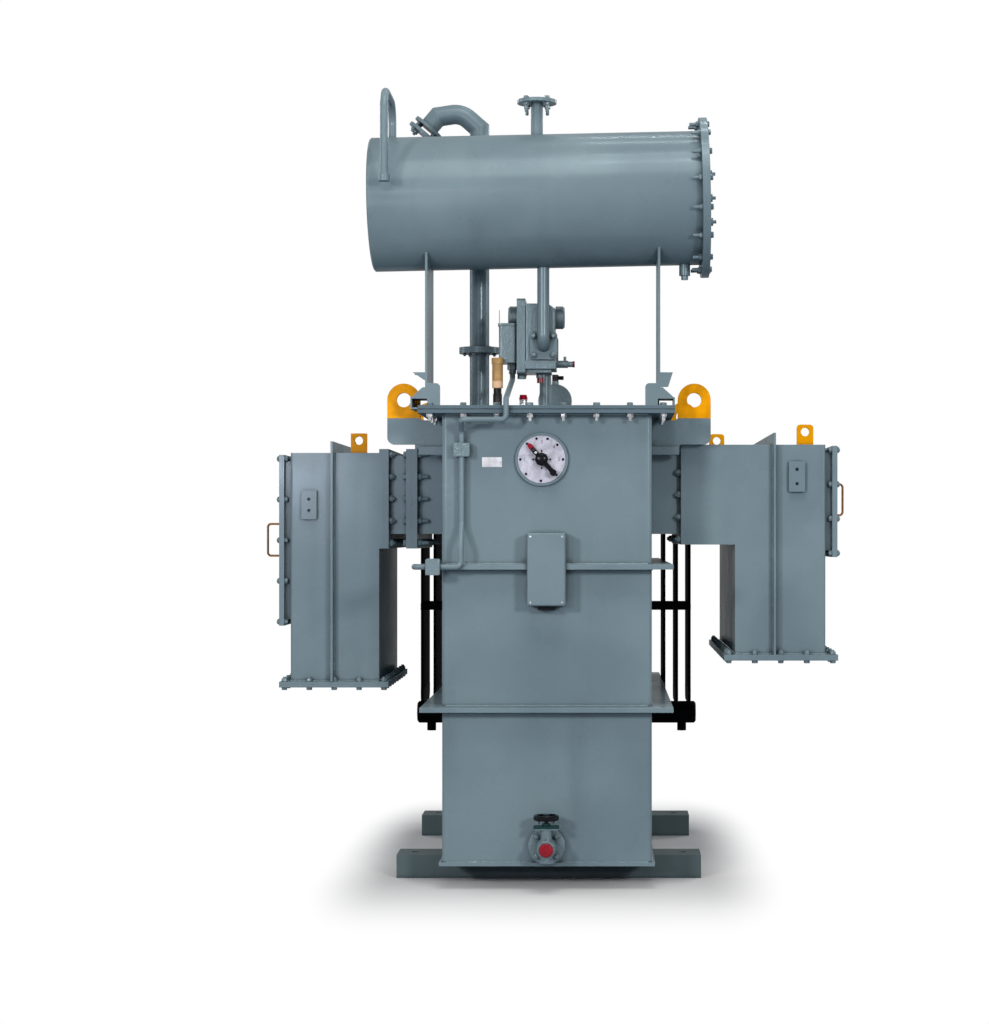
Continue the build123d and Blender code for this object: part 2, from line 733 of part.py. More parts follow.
def pull_handle(side, cover_x, projection, y, z):
    """A bent wire handle on an inspection cover, with a round foot at each end."""
    wire_x = cover_x + projection - PULL_RADIUS
    points = [
        (side * cover_x, y, z[0]),
        (side * wire_x, y, z[0]),
        (side * wire_x, y, z[1]),
        (side * cover_x, y, z[1]),
    ]
    handle = bent(points, PULL_BEND, Circle(PULL_RADIUS))
    for end_z in z:
        handle += rod(Vector(side * cover_x, y, end_z), RIGHT * side, PULL_FOOT_LENGTH, PULL_FOOT_RADIUS)
    return handle


def small_lug(x, y, box_top):
    """A small lug with a hole, standing on a cable box."""
    hole_z = box_top + SMALL_LUG_HOLE_UP
    outline = rectangle_between(about(x, SMALL_LUG_WIDTH), (box_top, hole_z))
    outline += Pos(x, hole_z) * Circle(SMALL_LUG_WIDTH / 2)
    outline -= Pos(x, hole_z) * Circle(SMALL_LUG_HOLE_RADIUS)
    return plate_xz(outline, about(y, SMALL_LUG_THICK))


def earth_pad(x, face_y, width, z, spacing):
    """An earthing pad with two blind holes, on a front face."""
    pad = block(about(x, width), (face_y - EARTH_PAD_THICK, face_y), z)
    pad = fillet(pad.edges().filter_by(Axis.Y), EARTH_PAD_CORNER)
    for hole_z in about(middle_of(z), spacing):
        foot = Vector(x, face_y - EARTH_PAD_THICK, hole_z)
        pad -= rod(foot, BACKWARD, EARTH_HOLE_DEPTH, EARTH_HOLE_RADIUS)
    return pad


def round_upright_edges(box, inner_x, outer_x):
    """Rounds the bent corners of a cable box, but not those at its joint face."""
    nearer_outside = middle_of((inner_x, outer_x))
    upright = box.edges().filter_by(Axis.Z)
    outer = [edge for edge in upright if abs(edge.center().X) > abs(nearer_outside)]
    return fillet(outer, BOX_CORNER)


def stiffener_band(x, y, z):
    """A flat bar round the top, front and back of a cable box."""
    outer_y = (y[0] - STIFFENER_REACH, y[1] + STIFFENER_REACH)
    outer = rectangle_between(outer_y, (z[0], z[1] + STIFFENER_REACH))
    return plate_yz(outer - rectangle_between(y, z), x)


def inspection_neck(x, y, z):
    """The neck that carries an inspection cover on the outer side of a cable box."""
    neck_y = (y[0] + INSPECTION_MARGIN, y[1] - INSPECTION_MARGIN)
    neck_z = (z[0] + INSPECTION_MARGIN / 2, z[1] - INSPECTION_MARGIN / 2)
    return block(x, neck_y, neck_z)


def inspection_cover(x, y, z):
    """The bolted plate over an inspection neck."""
    cover_y = (y[0] + INSPECTION_MARGIN / 2, y[1] - INSPECTION_MARGIN / 2)
    return block(x, cover_y, z)


def gland_rim(x, y, top, overhang):
    """A flat plate under a cable box leg, wider than the leg all round."""
    rim_x = (x[0] - overhang, x[1] + overhang)
    rim_y = (y[0] - overhang, y[1] + overhang)
    return block(rim_x, rim_y, (top - GLAND_PLATE_THICK, top))


def lv_turret():
    """The welded turret on the right wall, with its flange."""
    turret = block((SIDE_X, LV_TURRET_END_X), LV_TURRET_Y, LV_TURRET_Z)
    turret += block((LV_TURRET_END_X, LV_JOINT_X), LV_BOX_Y, (LV_BRIDGE_BOTTOM_Z, LV_BOX_TOP_Z))
    return turret - throat(LV_TURRET_Y, LV_TURRET_Z, (SIDE_X, LV_JOINT_X))


def lv_cable_box():
    """The L-shaped box with its inspection neck, gland rim and earthing pad."""
    bridge_z = (LV_BRIDGE_BOTTOM_Z, LV_BOX_TOP_Z)
    outline = rectangle_between((LV_JOINT_X, LV_OUTER_X), bridge_z)
    outline += rectangle_between(LV_LEG_X, (LV_LEG_BOTTOM_Z, LV_BOX_TOP_Z))
    box = round_upright_edges(plate_xz(outline, LV_BOX_Y), LV_JOINT_X, LV_OUTER_X)
    box += inspection_neck((LV_OUTER_X, LV_COVER_X), LV_BOX_Y, LV_INSPECTION_Z)
    box += gland_rim(LV_LEG_X, LV_BOX_Y, LV_LEG_BOTTOM_Z, LV_GLAND_OVERHANG)
    pad_top = LV_BOX_TOP_Z - LV_EARTH_DROP
    pad_z = (pad_top - LV_EARTH_HEIGHT, pad_top)
    pad_x = LV_OUTER_X - LV_EARTH_INSET
    return box + earth_pad(pad_x, LV_BOX_Y[0], LV_EARTH_WIDTH, pad_z, LV_EARTH_SPACING)


def hv_turret():
    """The welded turret on the left wall, with its flange."""
    flange_x = (-HV_INNER_JOINT_X, -HV_TURRET_END_X)
    turret = block((-HV_TURRET_END_X, -SIDE_X), HV_TURRET_Y, HV_TURRET_Z)
    turret += block(flange_x, HV_FLANGE_Y, HV_FLANGE_Z)
    return turret - throat(HV_TURRET_Y, HV_TURRET_Z, (-HV_INNER_JOINT_X, -SIDE_X))


def hv_disconnecting_chamber():
    """The short chamber with a flange at each end, between the turret and the box."""
    chamber = block((-HV_CHAMBER_END_X, -HV_CHAMBER_START_X), HV_TURRET_Y, HV_TURRET_Z)
    chamber += block((-HV_CHAMBER_START_X, -HV_INNER_JOINT_X), HV_FLANGE_Y, HV_FLANGE_Z)
    chamber += block((-HV_OUTER_JOINT_X, -HV_CHAMBER_END_X), HV_FLANGE_Y, HV_FLANGE_Z)
    return chamber - throat(HV_TURRET_Y, HV_TURRET_Z, (-HV_OUTER_JOINT_X, -HV_INNER_JOINT_X))


def hv_cable_box():
    """The upright box with its flange, inspection neck, gland rim and earthing pad."""
    box = block(HV_LEG_X, HV_BOX_Y, (HV_BOX_BOTTOM_Z, HV_BOX_TOP_Z))
    box = round_upright_edges(box, -HV_BOX_START_X, -HV_OUTER_X)
    box += block((-HV_BOX_START_X, -HV_OUTER_JOINT_X), HV_FLANGE_Y, HV_FLANGE_Z)
    box += inspection_neck((-HV_COVER_X, -HV_OUTER_X), HV_BOX_Y, HV_INSPECTION_Z)
    box += gland_rim(HV_LEG_X, HV_BOX_Y, HV_BOX_BOTTOM_Z, HV_GLAND_OVERHANG)
    pad_top = HV_BOX_TOP_Z - HV_EARTH_DROP
    pad_z = (pad_top - HV_EARTH_HEIGHT, pad_top)
    pad_x = HV_EARTH_INSET - HV_OUTER_X
    return box + earth_pad(pad_x, HV_BOX_Y[0], HV_EARTH_WIDTH, pad_z, HV_EARTH_SPACING)


def cable_box_stiffeners():
    """A flat bar round the top, front and back of each cable box."""
    lv_x = LV_OUTER_X - LV_STIFFENER_INSET
    hv_x = HV_STIFFENER_INSET - HV_OUTER_X
    lv_z = (LV_LEG_BOTTOM_Z, LV_BOX_TOP_Z)
    hv_z = (HV_BOX_BOTTOM_Z, HV_BOX_TOP_Z)
    lv = stiffener_band((lv_x, lv_x + STIFFENER_THICK), LV_BOX_Y, lv_z)
    hv = stiffener_band((hv_x, hv_x + STIFFENER_THICK), HV_BOX_Y, hv_z)
    return lv, hv


def gland_plates():
    """The removable plates that the cables would enter by."""
    lv_top = LV_LEG_BOTTOM_Z - GLAND_PLATE_THICK
    hv_top = HV_BOX_BOTTOM_Z - GLAND_PLATE_THICK
    lv = gland_rim(LV_LEG_X, LV_BOX_Y, lv_top, LV_GLAND_OVERHANG)
    hv = gland_rim(HV_LEG_X, HV_BOX_Y, hv_top, HV_GLAND_OVERHANG)
    return lv, hv


def inspection_covers():
    """The bolted covers on the outer side of each box."""
    lv = inspection_cover((LV_COVER_X, LV_COVER_X + COVER_PLATE), LV_BOX_Y, LV_INSPECTION_Z)
    hv = inspection_cover((-HV_COVER_X - COVER_PLATE, -HV_COVER_X), HV_BOX_Y, HV_INSPECTION_Z)
    return lv, hv


def cover_handles():
    """The wire handles on both inspection covers."""
    lv_top = LV_INSPECTION_Z[1] - LV_PULL_DROP
    hv_top = HV_INSPECTION_Z[1] - HV_PULL_DROP
    lv_z = (lv_top - LV_PULL_HEIGHT, lv_top)
    hv_z = (hv_top - HV_PULL_HEIGHT, hv_top)
    lv_face = LV_COVER_X + COVER_PLATE
    hv_face = HV_COVER_X + COVER_PLATE
    lv = pull_handle(1, lv_face, LV_PULL_PROJECTION, FRONT_Y + LV_PULL_DEPTH, lv_z)
    hv = pull_handle(-1, hv_face, HV_PULL_PROJECTION, FRONT_Y + HV_PULL_DEPTH, hv_z)
    return lv, hv


def cable_box_lugs():
    """The three small lifting lugs on the cable boxes."""
    front_y = LV_BOX_Y[0] + LV_LUG_FRONT_BACK
    rear_y = LV_BOX_Y[1] - LV_LUG_REAR_BACK
    front = small_lug(LV_OUTER_X - LV_LUG_FRONT_INSET, front_y, LV_BOX_TOP_Z)
    rear = small_lug(LV_OUTER_X - LV_LUG_REAR_INSET, rear_y, LV_BOX_TOP_Z)
    left = small_lug(HV_LUG_INSET - HV_OUTER_X, HV_BOX_Y[0] + HV_LUG_BACK, HV_BOX_TOP_Z)
    return front, rear, left


FIN_Z = (HEADER_BOTTOM_Z + HEADER_RADIUS, HEADER_TOP_Z - HEADER_RADIUS)
LAST_FIN_X = SIDE_X + FIN_FIRST_OFFSET + FIN_PITCH * (FIN_COUNT - 1)


def header(z):
    """One header pipe, closed by a bevelled cap."""
    length = LAST_FIN_X + HEADER_TAIL - SIDE_X
    plain = length - HEADER_END_CHAMFER
    cap = (HEADER_END_CHAMFER, HEADER_RADIUS, HEADER_RADIUS - HEADER_END_CHAMFER)
    return turned(Vector(SIDE_X, RADIATOR_Y, z), RIGHT, (plain, HEADER_RADIUS, HEADER_RADIUS), cap)


def fin(x):
    """One pressed fin: upright oil channels, joined by a web and closed by rounded ends."""
    plan = Pos(x, RADIATOR_Y) * Rectangle(FIN_WEB, FIN_WIDTH - FIN_CHANNEL_WIDTH)
    pitch = (FIN_WIDTH - FIN_CHANNEL_WIDTH) / (FIN_CHANNELS - 1)
    channel = Rot(0, 0, 90) * SlotOverall(FIN_CHANNEL_WIDTH, FIN_THICK)
    for number in range(FIN_CHANNELS):
        y = RADIATOR_Y + (number - (FIN_CHANNELS - 1) / 2) * pitch
        plan += Pos(x, y) * channel
    channel_z = (FIN_Z[0] + FIN_END_HEIGHT, FIN_Z[1] - FIN_END_HEIGHT)
    whole = plate_xy(plan, channel_z)
    for end_z, inner_z in zip(FIN_Z, channel_z):
        outline = rectangle_between(about(RADIATOR_Y, FIN_WIDTH), (end_z, inner_z))
        for y in about(RADIATOR_Y, FIN_WIDTH):
            outline = fillet(nearest_vertex(outline, (y, end_z, 0)), FIN_ROUND)
        whole += plate_yz(outline, about(x, FIN_THICK))
    for header_z, end_z in zip((HEADER_BOTTOM_Z, HEADER_TOP_Z), FIN_Z):
        neck = block(about(x, FIN_THICK), about(RADIATOR_Y, FIN_NECK_WIDTH), (header_z, end_z))
        seat = Vector(x - FIN_THICK, RADIATOR_Y, header_z)
        whole += neck - rod(seat, RIGHT, FIN_THICK * 2, HEADER_RADIUS + SEAT_GAP)
    return whole


def radiators():
    """Fins, headers and ties of the right radiator, and the left one mirrored."""
    fins = [fin(LAST_FIN_X - FIN_PITCH * number) for number in range(FIN_COUNT)]
    headers = [header(HEADER_BOTTOM_Z), header(HEADER_TOP_Z)]
    plug_foot = Vector(LAST_FIN_X - FIN_PITCH / 2, RADIATOR_Y, HEADER_BOTTOM_Z)
    headers[0] += rod(plug_foot, DOWN, HEADER_RADIUS + RADIATOR_PLUG_LENGTH, RADIATOR_PLUG_RADIUS)
    ties = []
    tie_x = (SIDE_X, LAST_FIN_X + FIN_THICK / 2)
    for side in (-1, 1):
        edge = RADIATOR_Y + side * FIN_WIDTH / 2
        tie_z = (TIE_BOTTOM_Z, TIE_BOTTOM_Z + TIE_HEIGHT)
        ties.append(block(tie_x, (edge, edge + side * TIE_THICK), tie_z))
    save("radiator_fins_right", *fins)
    save("radiator_fins_left", *[mirrored(one) for one in fins])
    save("radiator_headers", *headers, *[mirrored(one) for one in headers])
    save("radiator_ties", *ties, *[mirrored(one) for one in ties])


def drum_axis_z(x):
    """The height of the conservator's axis at a place in X."""
    return DRUM_CENTRE_Z + x * DRUM_SLOPE_TAN


def drum_place(x, radius=0, direction=UP):
    """A point at a distance above or below the conservator's axis."""
    return Vector(x, DRUM_CENTRE.Y, drum_axis_z(x)) + direction * radius


def on_drum(shape):
    """Tilts a shape made along X onto the conservator's sloping axis."""
    return Pos(*DRUM_CENTRE) * Rot(0, -DRUM_SLOPE, 0) * shape


def drum_solid(extra):
    """The conservator as one solid, made a little larger for seats that are cut to it."""
    foot = Vector(DRUM_LEFT_X, 0, 0)
    return on_drum(rod(foot, RIGHT, DRUM_RIGHT_X - DRUM_LEFT_X, DRUM_RADIUS + extra))


def ring(foot, length, outer_radius, inner_radius):
    """A hollow round piece along X."""
    cut = rod(foot - RIGHT * OVER, RIGHT, length + OVER * 2, inner_radius)
    return rod(foot, RIGHT, length, outer_radius) - cut


def conservator():
    """The drum, its two ends and its drain plug."""
    left_end_x = DRUM_LEFT_X + DRUM_END_THICK
    shell_length = DRUM_RIGHT_X - left_end_x
    shell = ring(Vector(left_end_x, 0, 0), shell_length, DRUM_RADIUS, DRUM_RADIUS - DRUM_WALL)
    flange_foot = Vector(DRUM_RIGHT_X - END_FLANGE_THICK, 0, 0)
    shell += ring(flange_foot, END_FLANGE_THICK, END_FLANGE_RADIUS, DRUM_RADIUS - DRUM_WALL)
    plug_reach = DRUM_RADIUS + DRUM_PLUG_LENGTH + DRUM_PLUG_TIP_LENGTH
    plug = turned(
        drum_place(DRUM_RIGHT_X - DRUM_PLUG_INSET, plug_reach, DOWN),
        UP,
        (DRUM_PLUG_TIP_LENGTH, DRUM_PLUG_TIP_RADIUS, DRUM_PLUG_TIP_RADIUS),
        (DRUM_PLUG_LENGTH + DRUM_RADIUS / 2, DRUM_PLUG_RADIUS, DRUM_PLUG_RADIUS),
    )
    save("conservator_shell", on_drum(shell) + (plug - drum_solid(-DRUM_WALL / 2)))
    end_chamfer = (DRUM_END_CHAMFER, DRUM_RADIUS - DRUM_END_CHAMFER, DRUM_RADIUS)
    end_plain = (DRUM_END_THICK - DRUM_END_CHAMFER, DRUM_RADIUS, DRUM_RADIUS)
    left_end = turned(Vector(DRUM_LEFT_X, 0, 0), RIGHT, end_chamfer, end_plain)
    save("conservator_left_end", on_drum(left_end))
    cover = rod(Vector(DRUM_RIGHT_X, 0, 0), RIGHT, END_COVER_THICK, END_FLANGE_RADIUS)
    save("conservator_end_cover", on_drum(cover))


def oil_level_gauge():
    """The gauge plate with its three fittings, each a nut with a short stem."""
    foot_x = DRUM_RIGHT_X + END_COVER_THICK
    gauge_x = (foot_x, foot_x + GAUGE_BODY_THICK)
    gauge = block(gauge_x, about(0, GAUGE_BODY_WIDTH), about(0, GAUGE_BODY_HEIGHT))
    gauge = fillet(gauge.edges().filter_by(Axis.X), GAUGE_BODY_ROUND)
    for number in range(GAUGE_FITTINGS):
        z = (number - (GAUGE_FITTINGS - 1) / 2) * GAUGE_PITCH
        nut_foot = Vector(gauge_x[1], 0, z)
        gauge += hexagon(nut_foot, RIGHT, GAUGE_NUT_LENGTH, GAUGE_NUT_FLATS)
        stem_length = GAUGE_NUT_LENGTH + GAUGE_STEM_LENGTH
        gauge += rod(nut_foot, RIGHT, stem_length, GAUGE_STEM_RADIUS)
    save("oil_level_gauge", on_drum(gauge))


def polygon(*points):
    """A flat outline through a few corners."""
    return make_face(Polyline(*points, close=True))


def support(x, out, tab_height, tab_root):
    """One conservator support: a saddle plate on a tube foot, with gussets and a tab."""
    y = about(DRUM_CENTRE.Y, SUPPORT_WIDTH)
    base_z = COVER_TOP_Z + FOOT_HEIGHT
    inner_face = x - out * SUPPORT_THICK / 2
    outer_face = x + out * SUPPORT_THICK / 2
    plate = block((inner_face, outer_face), y, (base_z, drum_axis_z(x))) - drum_solid(SEAT_GAP)
    foot_x = sorted((x - out * FOOT_INNER, x + out * FOOT_OUTER))
    foot_y = (y[0], LUG_Y[0] - FOOT_LUG_GAP)
    foot = block(foot_x, foot_y, (COVER_TOP_Z, base_z))
    hollow_x = (foot_x[0] + FOOT_WALL, foot_x[1] - FOOT_WALL)
    hollow_z = (COVER_TOP_Z + FOOT_WALL, base_z - FOOT_WALL)
    foot -= block(hollow_x, (foot_y[0] - OVER, foot_y[1] + OVER), hollow_z)
    sole_x = sorted((x - out * FOOT_INNER, outer_face))
    foot += block(sole_x, (foot_y[1] - OVER, y[1]), (COVER_TOP_Z, base_z))

    top_z = COVER_TOP_Z + GUSSET_HEIGHT
    gusset_reach = inner_face - out * GUSSET_REACH
    gusset = rectangle_between((gusset_reach, inner_face), (COVER_TOP_Z, top_z))
    gusset = fillet(nearest_vertex(gusset, (gusset_reach, top_z, 0)), GUSSET_ROUND)
    flare = polygon(
        (outer_face, base_z),
        (outer_face + out * (FOOT_OUTER - SUPPORT_THICK), base_z),
        (outer_face + out * SUPPORT_THICK, base_z + FLARE_HEIGHT),
        (outer_face, base_z + FLARE_HEIGHT),
    )
    tab = polygon(
        (outer_face, TAB_TOP_Z - tab_height),
        (outer_face + out * tab_root, TAB_TOP_Z - tab_height),
        (outer_face + out * TAB_REACH, TAB_TOP_Z),
        (outer_face, TAB_TOP_Z),
    )
    front_y = (y[0], y[0] + GUSSET_THICK)
    whole = plate + foot + plate_xz(gusset + flare + tab, front_y)
    shelf_x = sorted((outer_face, outer_face + out * (TAB_REACH - GUSSET_THICK)))
    shelf_z = (TAB_TOP_Z - GUSSET_THICK, TAB_TOP_Z)
    return whole + block(shelf_x, (y[0], y[0] + TAB_TOP_DEPTH), shelf_z)


def conservator_supports():
    """Both supports, alike but for their tabs."""
    left = support(SUPPORT_LEFT_X, -1, LEFT_TAB_HEIGHT, LEFT_TAB_ROOT)
    right = support(SUPPORT_RIGHT_X, 1, RIGHT_TAB_HEIGHT, RIGHT_TAB_ROOT)
    save("conservator_supports", left, right)


def breather():
    """The breather pipe that rises from the drum and turns down in front of it."""
    x = DRUM_LEFT_X + BREATHER_INSET
    top_z = drum_axis_z(x) + DRUM_RADIUS + BREATHER_RISE
    front_y = DRUM_CENTRE.Y - BREATHER_REACH
    points = [
        drum_place(x, DRUM_RADIUS / 2),
        (x, DRUM_CENTRE.Y, top_z),
        (x, front_y, top_z),
        (x, front_y, BREATHER_END_Z),
    ]
    whole = bent(points, BREATHER_BEND, tube_section(BREATHER_RADIUS, BREATHER_WALL))
    union_foot = Vector(x, front_y, BREATHER_END_Z)
    union = turned(
        union_foot,
        UP,
        (UNION_LENGTH, UNION_RADIUS, UNION_RADIUS),
        (UNION_COLLAR_LENGTH, UNION_COLLAR_RADIUS, BREATHER_RADIUS),
    )
    save("breather_pipe", whole - drum_solid(SEAT_GAP) + union)


def filler():
    """The filling pipe on top of the drum, closed by a bolted blank."""
    foot = drum_place(FILLER_X, DRUM_RADIUS / 2)
    flange_z = DRUM_TOP_Z + FILLER_RISE
    section = Plane(origin=foot) * tube_section(FILLER_RADIUS, PIPE_WALL)
    riser = extrude(section, flange_z - foot.Z) - drum_solid(SEAT_GAP)
    top = Vector(FILLER_X, DRUM_CENTRE.Y, flange_z)
    save("filling_pipe", riser + rod(top, UP, FILLER_FLANGE_THICK, FILLER_FLANGE_RADIUS))
    blank_foot = top + UP * FILLER_FLANGE_THICK
    save("filling_pipe_blank", rod(blank_foot, UP, FILLER_FLANGE_THICK, FILLER_FLANGE_RADIUS))


def vent():
    """The explosion vent: a flanged pipe, a gooseneck with a bend and mitres, and a cover on studs."""
    y = FRONT_Y + VENT_DEPTH
    foot = Vector(VENT_X, y, COVER_TOP_Z)
    flange = Vector(VENT_X, y, VENT_FLANGE_Z)
    lower = rod(foot, UP, VENT_FLANGE_Z - COVER_TOP_Z, VENT_RADIUS)
    lower += rod(flange, DOWN, PIPE_FLANGE_THICK, VENT_FLANGE_RADIUS)
    save("vent_lower_pipe", lower)

    slope = math.radians(VENT_MOUTH_SLOPE)
    outward = Vector(-math.cos(slope), 0, -math.sin(slope))
    rise = Vector(VENT_X, y, VENT_RISE_Z)
    crest = rise + LEFT * VENT_CREST_OFF + UP * VENT_CREST_RISE
    turn = crest + LEFT * VENT_RUN_OFF + DOWN * VENT_RUN_DROP
    mouth = turn + outward * VENT_MOUTH_LENGTH
    uphill = (crest - rise).normalized()
    downhill = (turn - crest).normalized()
    bend_reach = VENT_CREST_BEND * math.tan(math.radians(uphill.get_angle(downhill)) / 2)
    bend_start = crest - uphill * bend_reach
    bend = TangentArc(bend_start, crest + downhill * bend_reach, tangent=uphill)
    rising = Polyline(flange, rise, bend_start).edges()
    falling = Polyline(bend @ 1, turn, mouth).edges()
    path = Wire([*rising, bend.edge(), *falling])
    section = Plane(origin=flange, z_dir=UP) * tube_section(VENT_RADIUS, PIPE_WALL)
    neck = sweep(section, path=path, transition=Transition.RIGHT)
    neck += rod(flange, UP, PIPE_FLANGE_THICK, VENT_FLANGE_RADIUS)
    neck += rod(mouth, outward * -1, VENT_MOUTH_THICK, VENT_MOUTH_RADIUS)
    save("vent_gooseneck", neck)

    cover = rod(mouth + outward * VENT_COVER_GAP, outward, VENT_COVER_THICK, VENT_COVER_RADIUS)
    across = outward.cross(BACKWARD)
    for number in range(VENT_STUDS):
        angle = math.tau * (number + 1 / 2) / VENT_STUDS
        offset = (across * math.cos(angle) + BACKWARD * math.sin(angle)) * VENT_STUD_CIRCLE
        cover += rod(mouth + offset, outward, VENT_COVER_GAP + VENT_COVER_THICK / 2, VENT_STUD_RADIUS)
    save("vent_mouth_cover", cover)


RELAY_Y = (FRONT_Y + RELAY_FRONT_DEPTH, FRONT_Y + RELAY_FRONT_DEPTH + RELAY_LENGTH)
RELAY_X = (RELAY_LEFT_X, RELAY_LEFT_X + RELAY_WIDTH)
RELAY_BASE_Z = (RELAY_BOTTOM_Z - RELAY_BASE_HEIGHT, RELAY_BOTTOM_Z)


def square_flange(foot, direction):
    """A square flange with rounded corners, on the relay's axis."""
    outline = RectangleRounded(RELAY_FLANGE_SIZE, RELAY_FLANGE_SIZE, RELAY_FLANGE_CORNER)
    return extrude(Plane(origin=foot, x_dir=RIGHT, z_dir=direction) * outline, RELAY_FLANGE_THICK)


def relay_pipes():
    """The pipe from the conservator to the relay, and the one from it to the tank."""
    inlet = Vector(RELAY_PIPE_X, RELAY_Y[0], RELAY_AXIS_Z)
    outlet = Vector(RELAY_PIPE_X, RELAY_Y[1], RELAY_AXIS_Z)
    drop_y = RELAY_Y[1] + RELAY_DROP_RUN
    inlet_points = [
        drum_place(RELAY_PIPE_X, DRUM_RADIUS / 2, DOWN),
        (RELAY_PIPE_X, DRUM_CENTRE.Y, RELAY_AXIS_Z),
        inlet,
    ]
    outlet_points = [
        outlet,
        (RELAY_PIPE_X, drop_y, RELAY_AXIS_Z),
        (RELAY_PIPE_X, drop_y, COVER_TOP_Z),
    ]
    inlet_bend = RELAY_Y[0] - DRUM_CENTRE.Y - RELAY_FLANGE_THICK
    section = tube_section(RELAY_PIPE_RADIUS, PIPE_WALL)
    upper = bent(inlet_points, inlet_bend, section) - drum_solid(SEAT_GAP)
    lower = bent(outlet_points, RELAY_PIPE_BEND, section)
    save("relay_pipes", upper + square_flange(inlet, FORWARD), lower + square_flange(outlet, BACKWARD))


def window(foot, direction):
    """A round inspection window in a bevelled bezel."""
    bezel = turned(
        foot,
        direction,
        (RELAY_WINDOW_REACH - RELAY_WINDOW_CHAMFER, RELAY_WINDOW_RADIUS, RELAY_WINDOW_RADIUS),
        (RELAY_WINDOW_CHAMFER, RELAY_WINDOW_RADIUS, RELAY_WINDOW_RADIUS - RELAY_WINDOW_CHAMFER),
    )
    glass_foot = foot + direction * (RELAY_WINDOW_REACH - RELAY_GLASS_DEPTH)
    return bezel - rod(glass_foot, direction, RELAY_GLASS_DEPTH + OVER, RELAY_GLASS_RADIUS)


def gas_relay_body():
    """The cast relay: a sloped housing on a base plate, a window, a cock and a plug seat."""
    outline = polygon(
        (RELAY_X[0], RELAY_BOTTOM_Z),
        (RELAY_X[1], RELAY_BOTTOM_Z),
        (RELAY_X[1], RELAY_TOP_Z - RELAY_SLOPE_DROP),
        (RELAY_X[1] - RELAY_SLOPE_WIDTH, RELAY_TOP_Z),
        (RELAY_X[0], RELAY_TOP_Z),
    )
    body = plate_xz(outline, RELAY_Y)
    body = fillet(body.edges().filter_by(Axis.Z), RELAY_EDGE_ROUND)
    base_x = (RELAY_X[0], RELAY_X[1] + RELAY_BASE_LIP)
    base_y = (RELAY_Y[0] - RELAY_BASE_LIP, RELAY_Y[1] + RELAY_BASE_LIP)
    body += block(base_x, base_y, RELAY_BASE_Z)
    sump_x = (RELAY_X[0], RELAY_X[1] - RELAY_SUMP_INSET)
    sump_y = (RELAY_Y[0] + RELAY_SUMP_INSET, RELAY_Y[1] - RELAY_SUMP_INSET)
    body += block(sump_x, sump_y, (RELAY_BASE_Z[0] - RELAY_SUMP_HEIGHT, RELAY_BASE_Z[0]))
    middle_y = middle_of(RELAY_Y)
    body += window(Vector(RELAY_X[1], middle_y, RELAY_WINDOW_Z), RIGHT)
    cock_foot = Vector(RELAY_X[1], middle_y, RELAY_BASE_Z[0] + RELAY_COCK_UP)
    body += turned(
        cock_foot,
        RIGHT,
        (RELAY_COCK_REACH - RELAY_COCK_TIP_LENGTH, RELAY_COCK_RADIUS, RELAY_COCK_RADIUS),
        (RELAY_COCK_TIP_LENGTH, RELAY_COCK_TIP_RADIUS, RELAY_COCK_TIP_RADIUS),
    )
    knob_foot = cock_foot + RIGHT * RELAY_COCK_REACH / 2
    body += rod(knob_foot, UP, RELAY_COCK_RADIUS + RELAY_KNOB_HEIGHT, RELAY_KNOB_RADIUS)
    nut_foot = Vector(RELAY_PLUG_X, middle_y, RELAY_BASE_Z[0] - RELAY_SUMP_HEIGHT)
    body += hexagon(nut_foot, DOWN, RELAY_NUT_LENGTH, RELAY_NUT_FLATS)
    save("gas_relay_body", body)
    plug_foot = nut_foot + DOWN * RELAY_NUT_LENGTH
    save("gas_relay_plug", rod(plug_foot, DOWN, RELAY_PLUG_LENGTH, RELAY_PLUG_RADIUS))


def relay_terminal_box():
    """The side plate of the relay with its window, terminal box and gland."""
    middle_y = middle_of(RELAY_Y)
    side_x = (RELAY_X[0] - RELAY_SIDE_THICK, RELAY_X[0])
    side = block(side_x, RELAY_Y, (RELAY_SIDE_BOTTOM_Z, RELAY_SIDE_TOP_Z))
    side = fillet(side.edges().filter_by(Axis.X), RELAY_SIDE_ROUND)
    side += window(Vector(side_x[0], middle_y, RELAY_WINDOW_Z), LEFT)
    box_x = (side_x[0] - RELAY_BOX_WIDTH, side_x[0])
    box_y = about(middle_y, RELAY_BOX_LENGTH)
    box_z = (RELAY_BOX_BOTTOM_Z, RELAY_BOX_TOP_Z)
    terminal = block(box_x, box_y, box_z)
    terminal = fillet(terminal.edges().filter_by(Axis.Z), RELAY_BOX_CORNER)
    lip_y = (box_y[0] - RELAY_BOX_LIP, box_y[1] + RELAY_BOX_LIP)
    lip = block((box_x[0] - RELAY_BOX_LIP, box_x[1]), lip_y, (box_z[1] - RELAY_BOX_LIP_HEIGHT, box_z[1]))
    terminal += fillet(lip.edges().filter_by(Axis.Z), RELAY_BOX_CORNER)
    gland_foot = Vector(middle_of(box_x) + RELAY_GLAND_OFF, middle_y, box_z[0])
    terminal += hexagon(gland_foot, DOWN, RELAY_GLAND_LENGTH, RELAY_GLAND_FLATS)
    tail_foot = gland_foot + DOWN * RELAY_GLAND_LENGTH
    terminal += rod(tail_foot, DOWN, RELAY_GLAND_TAIL, RELAY_GLAND_RADIUS)
    side_nut_foot = Vector(middle_of(side_x), middle_y, RELAY_SIDE_BOTTOM_Z)
    side += hexagon(side_nut_foot, DOWN, RELAY_NUT_LENGTH, RELAY_NUT_FLATS)
    save("relay_terminal_box", side + terminal)


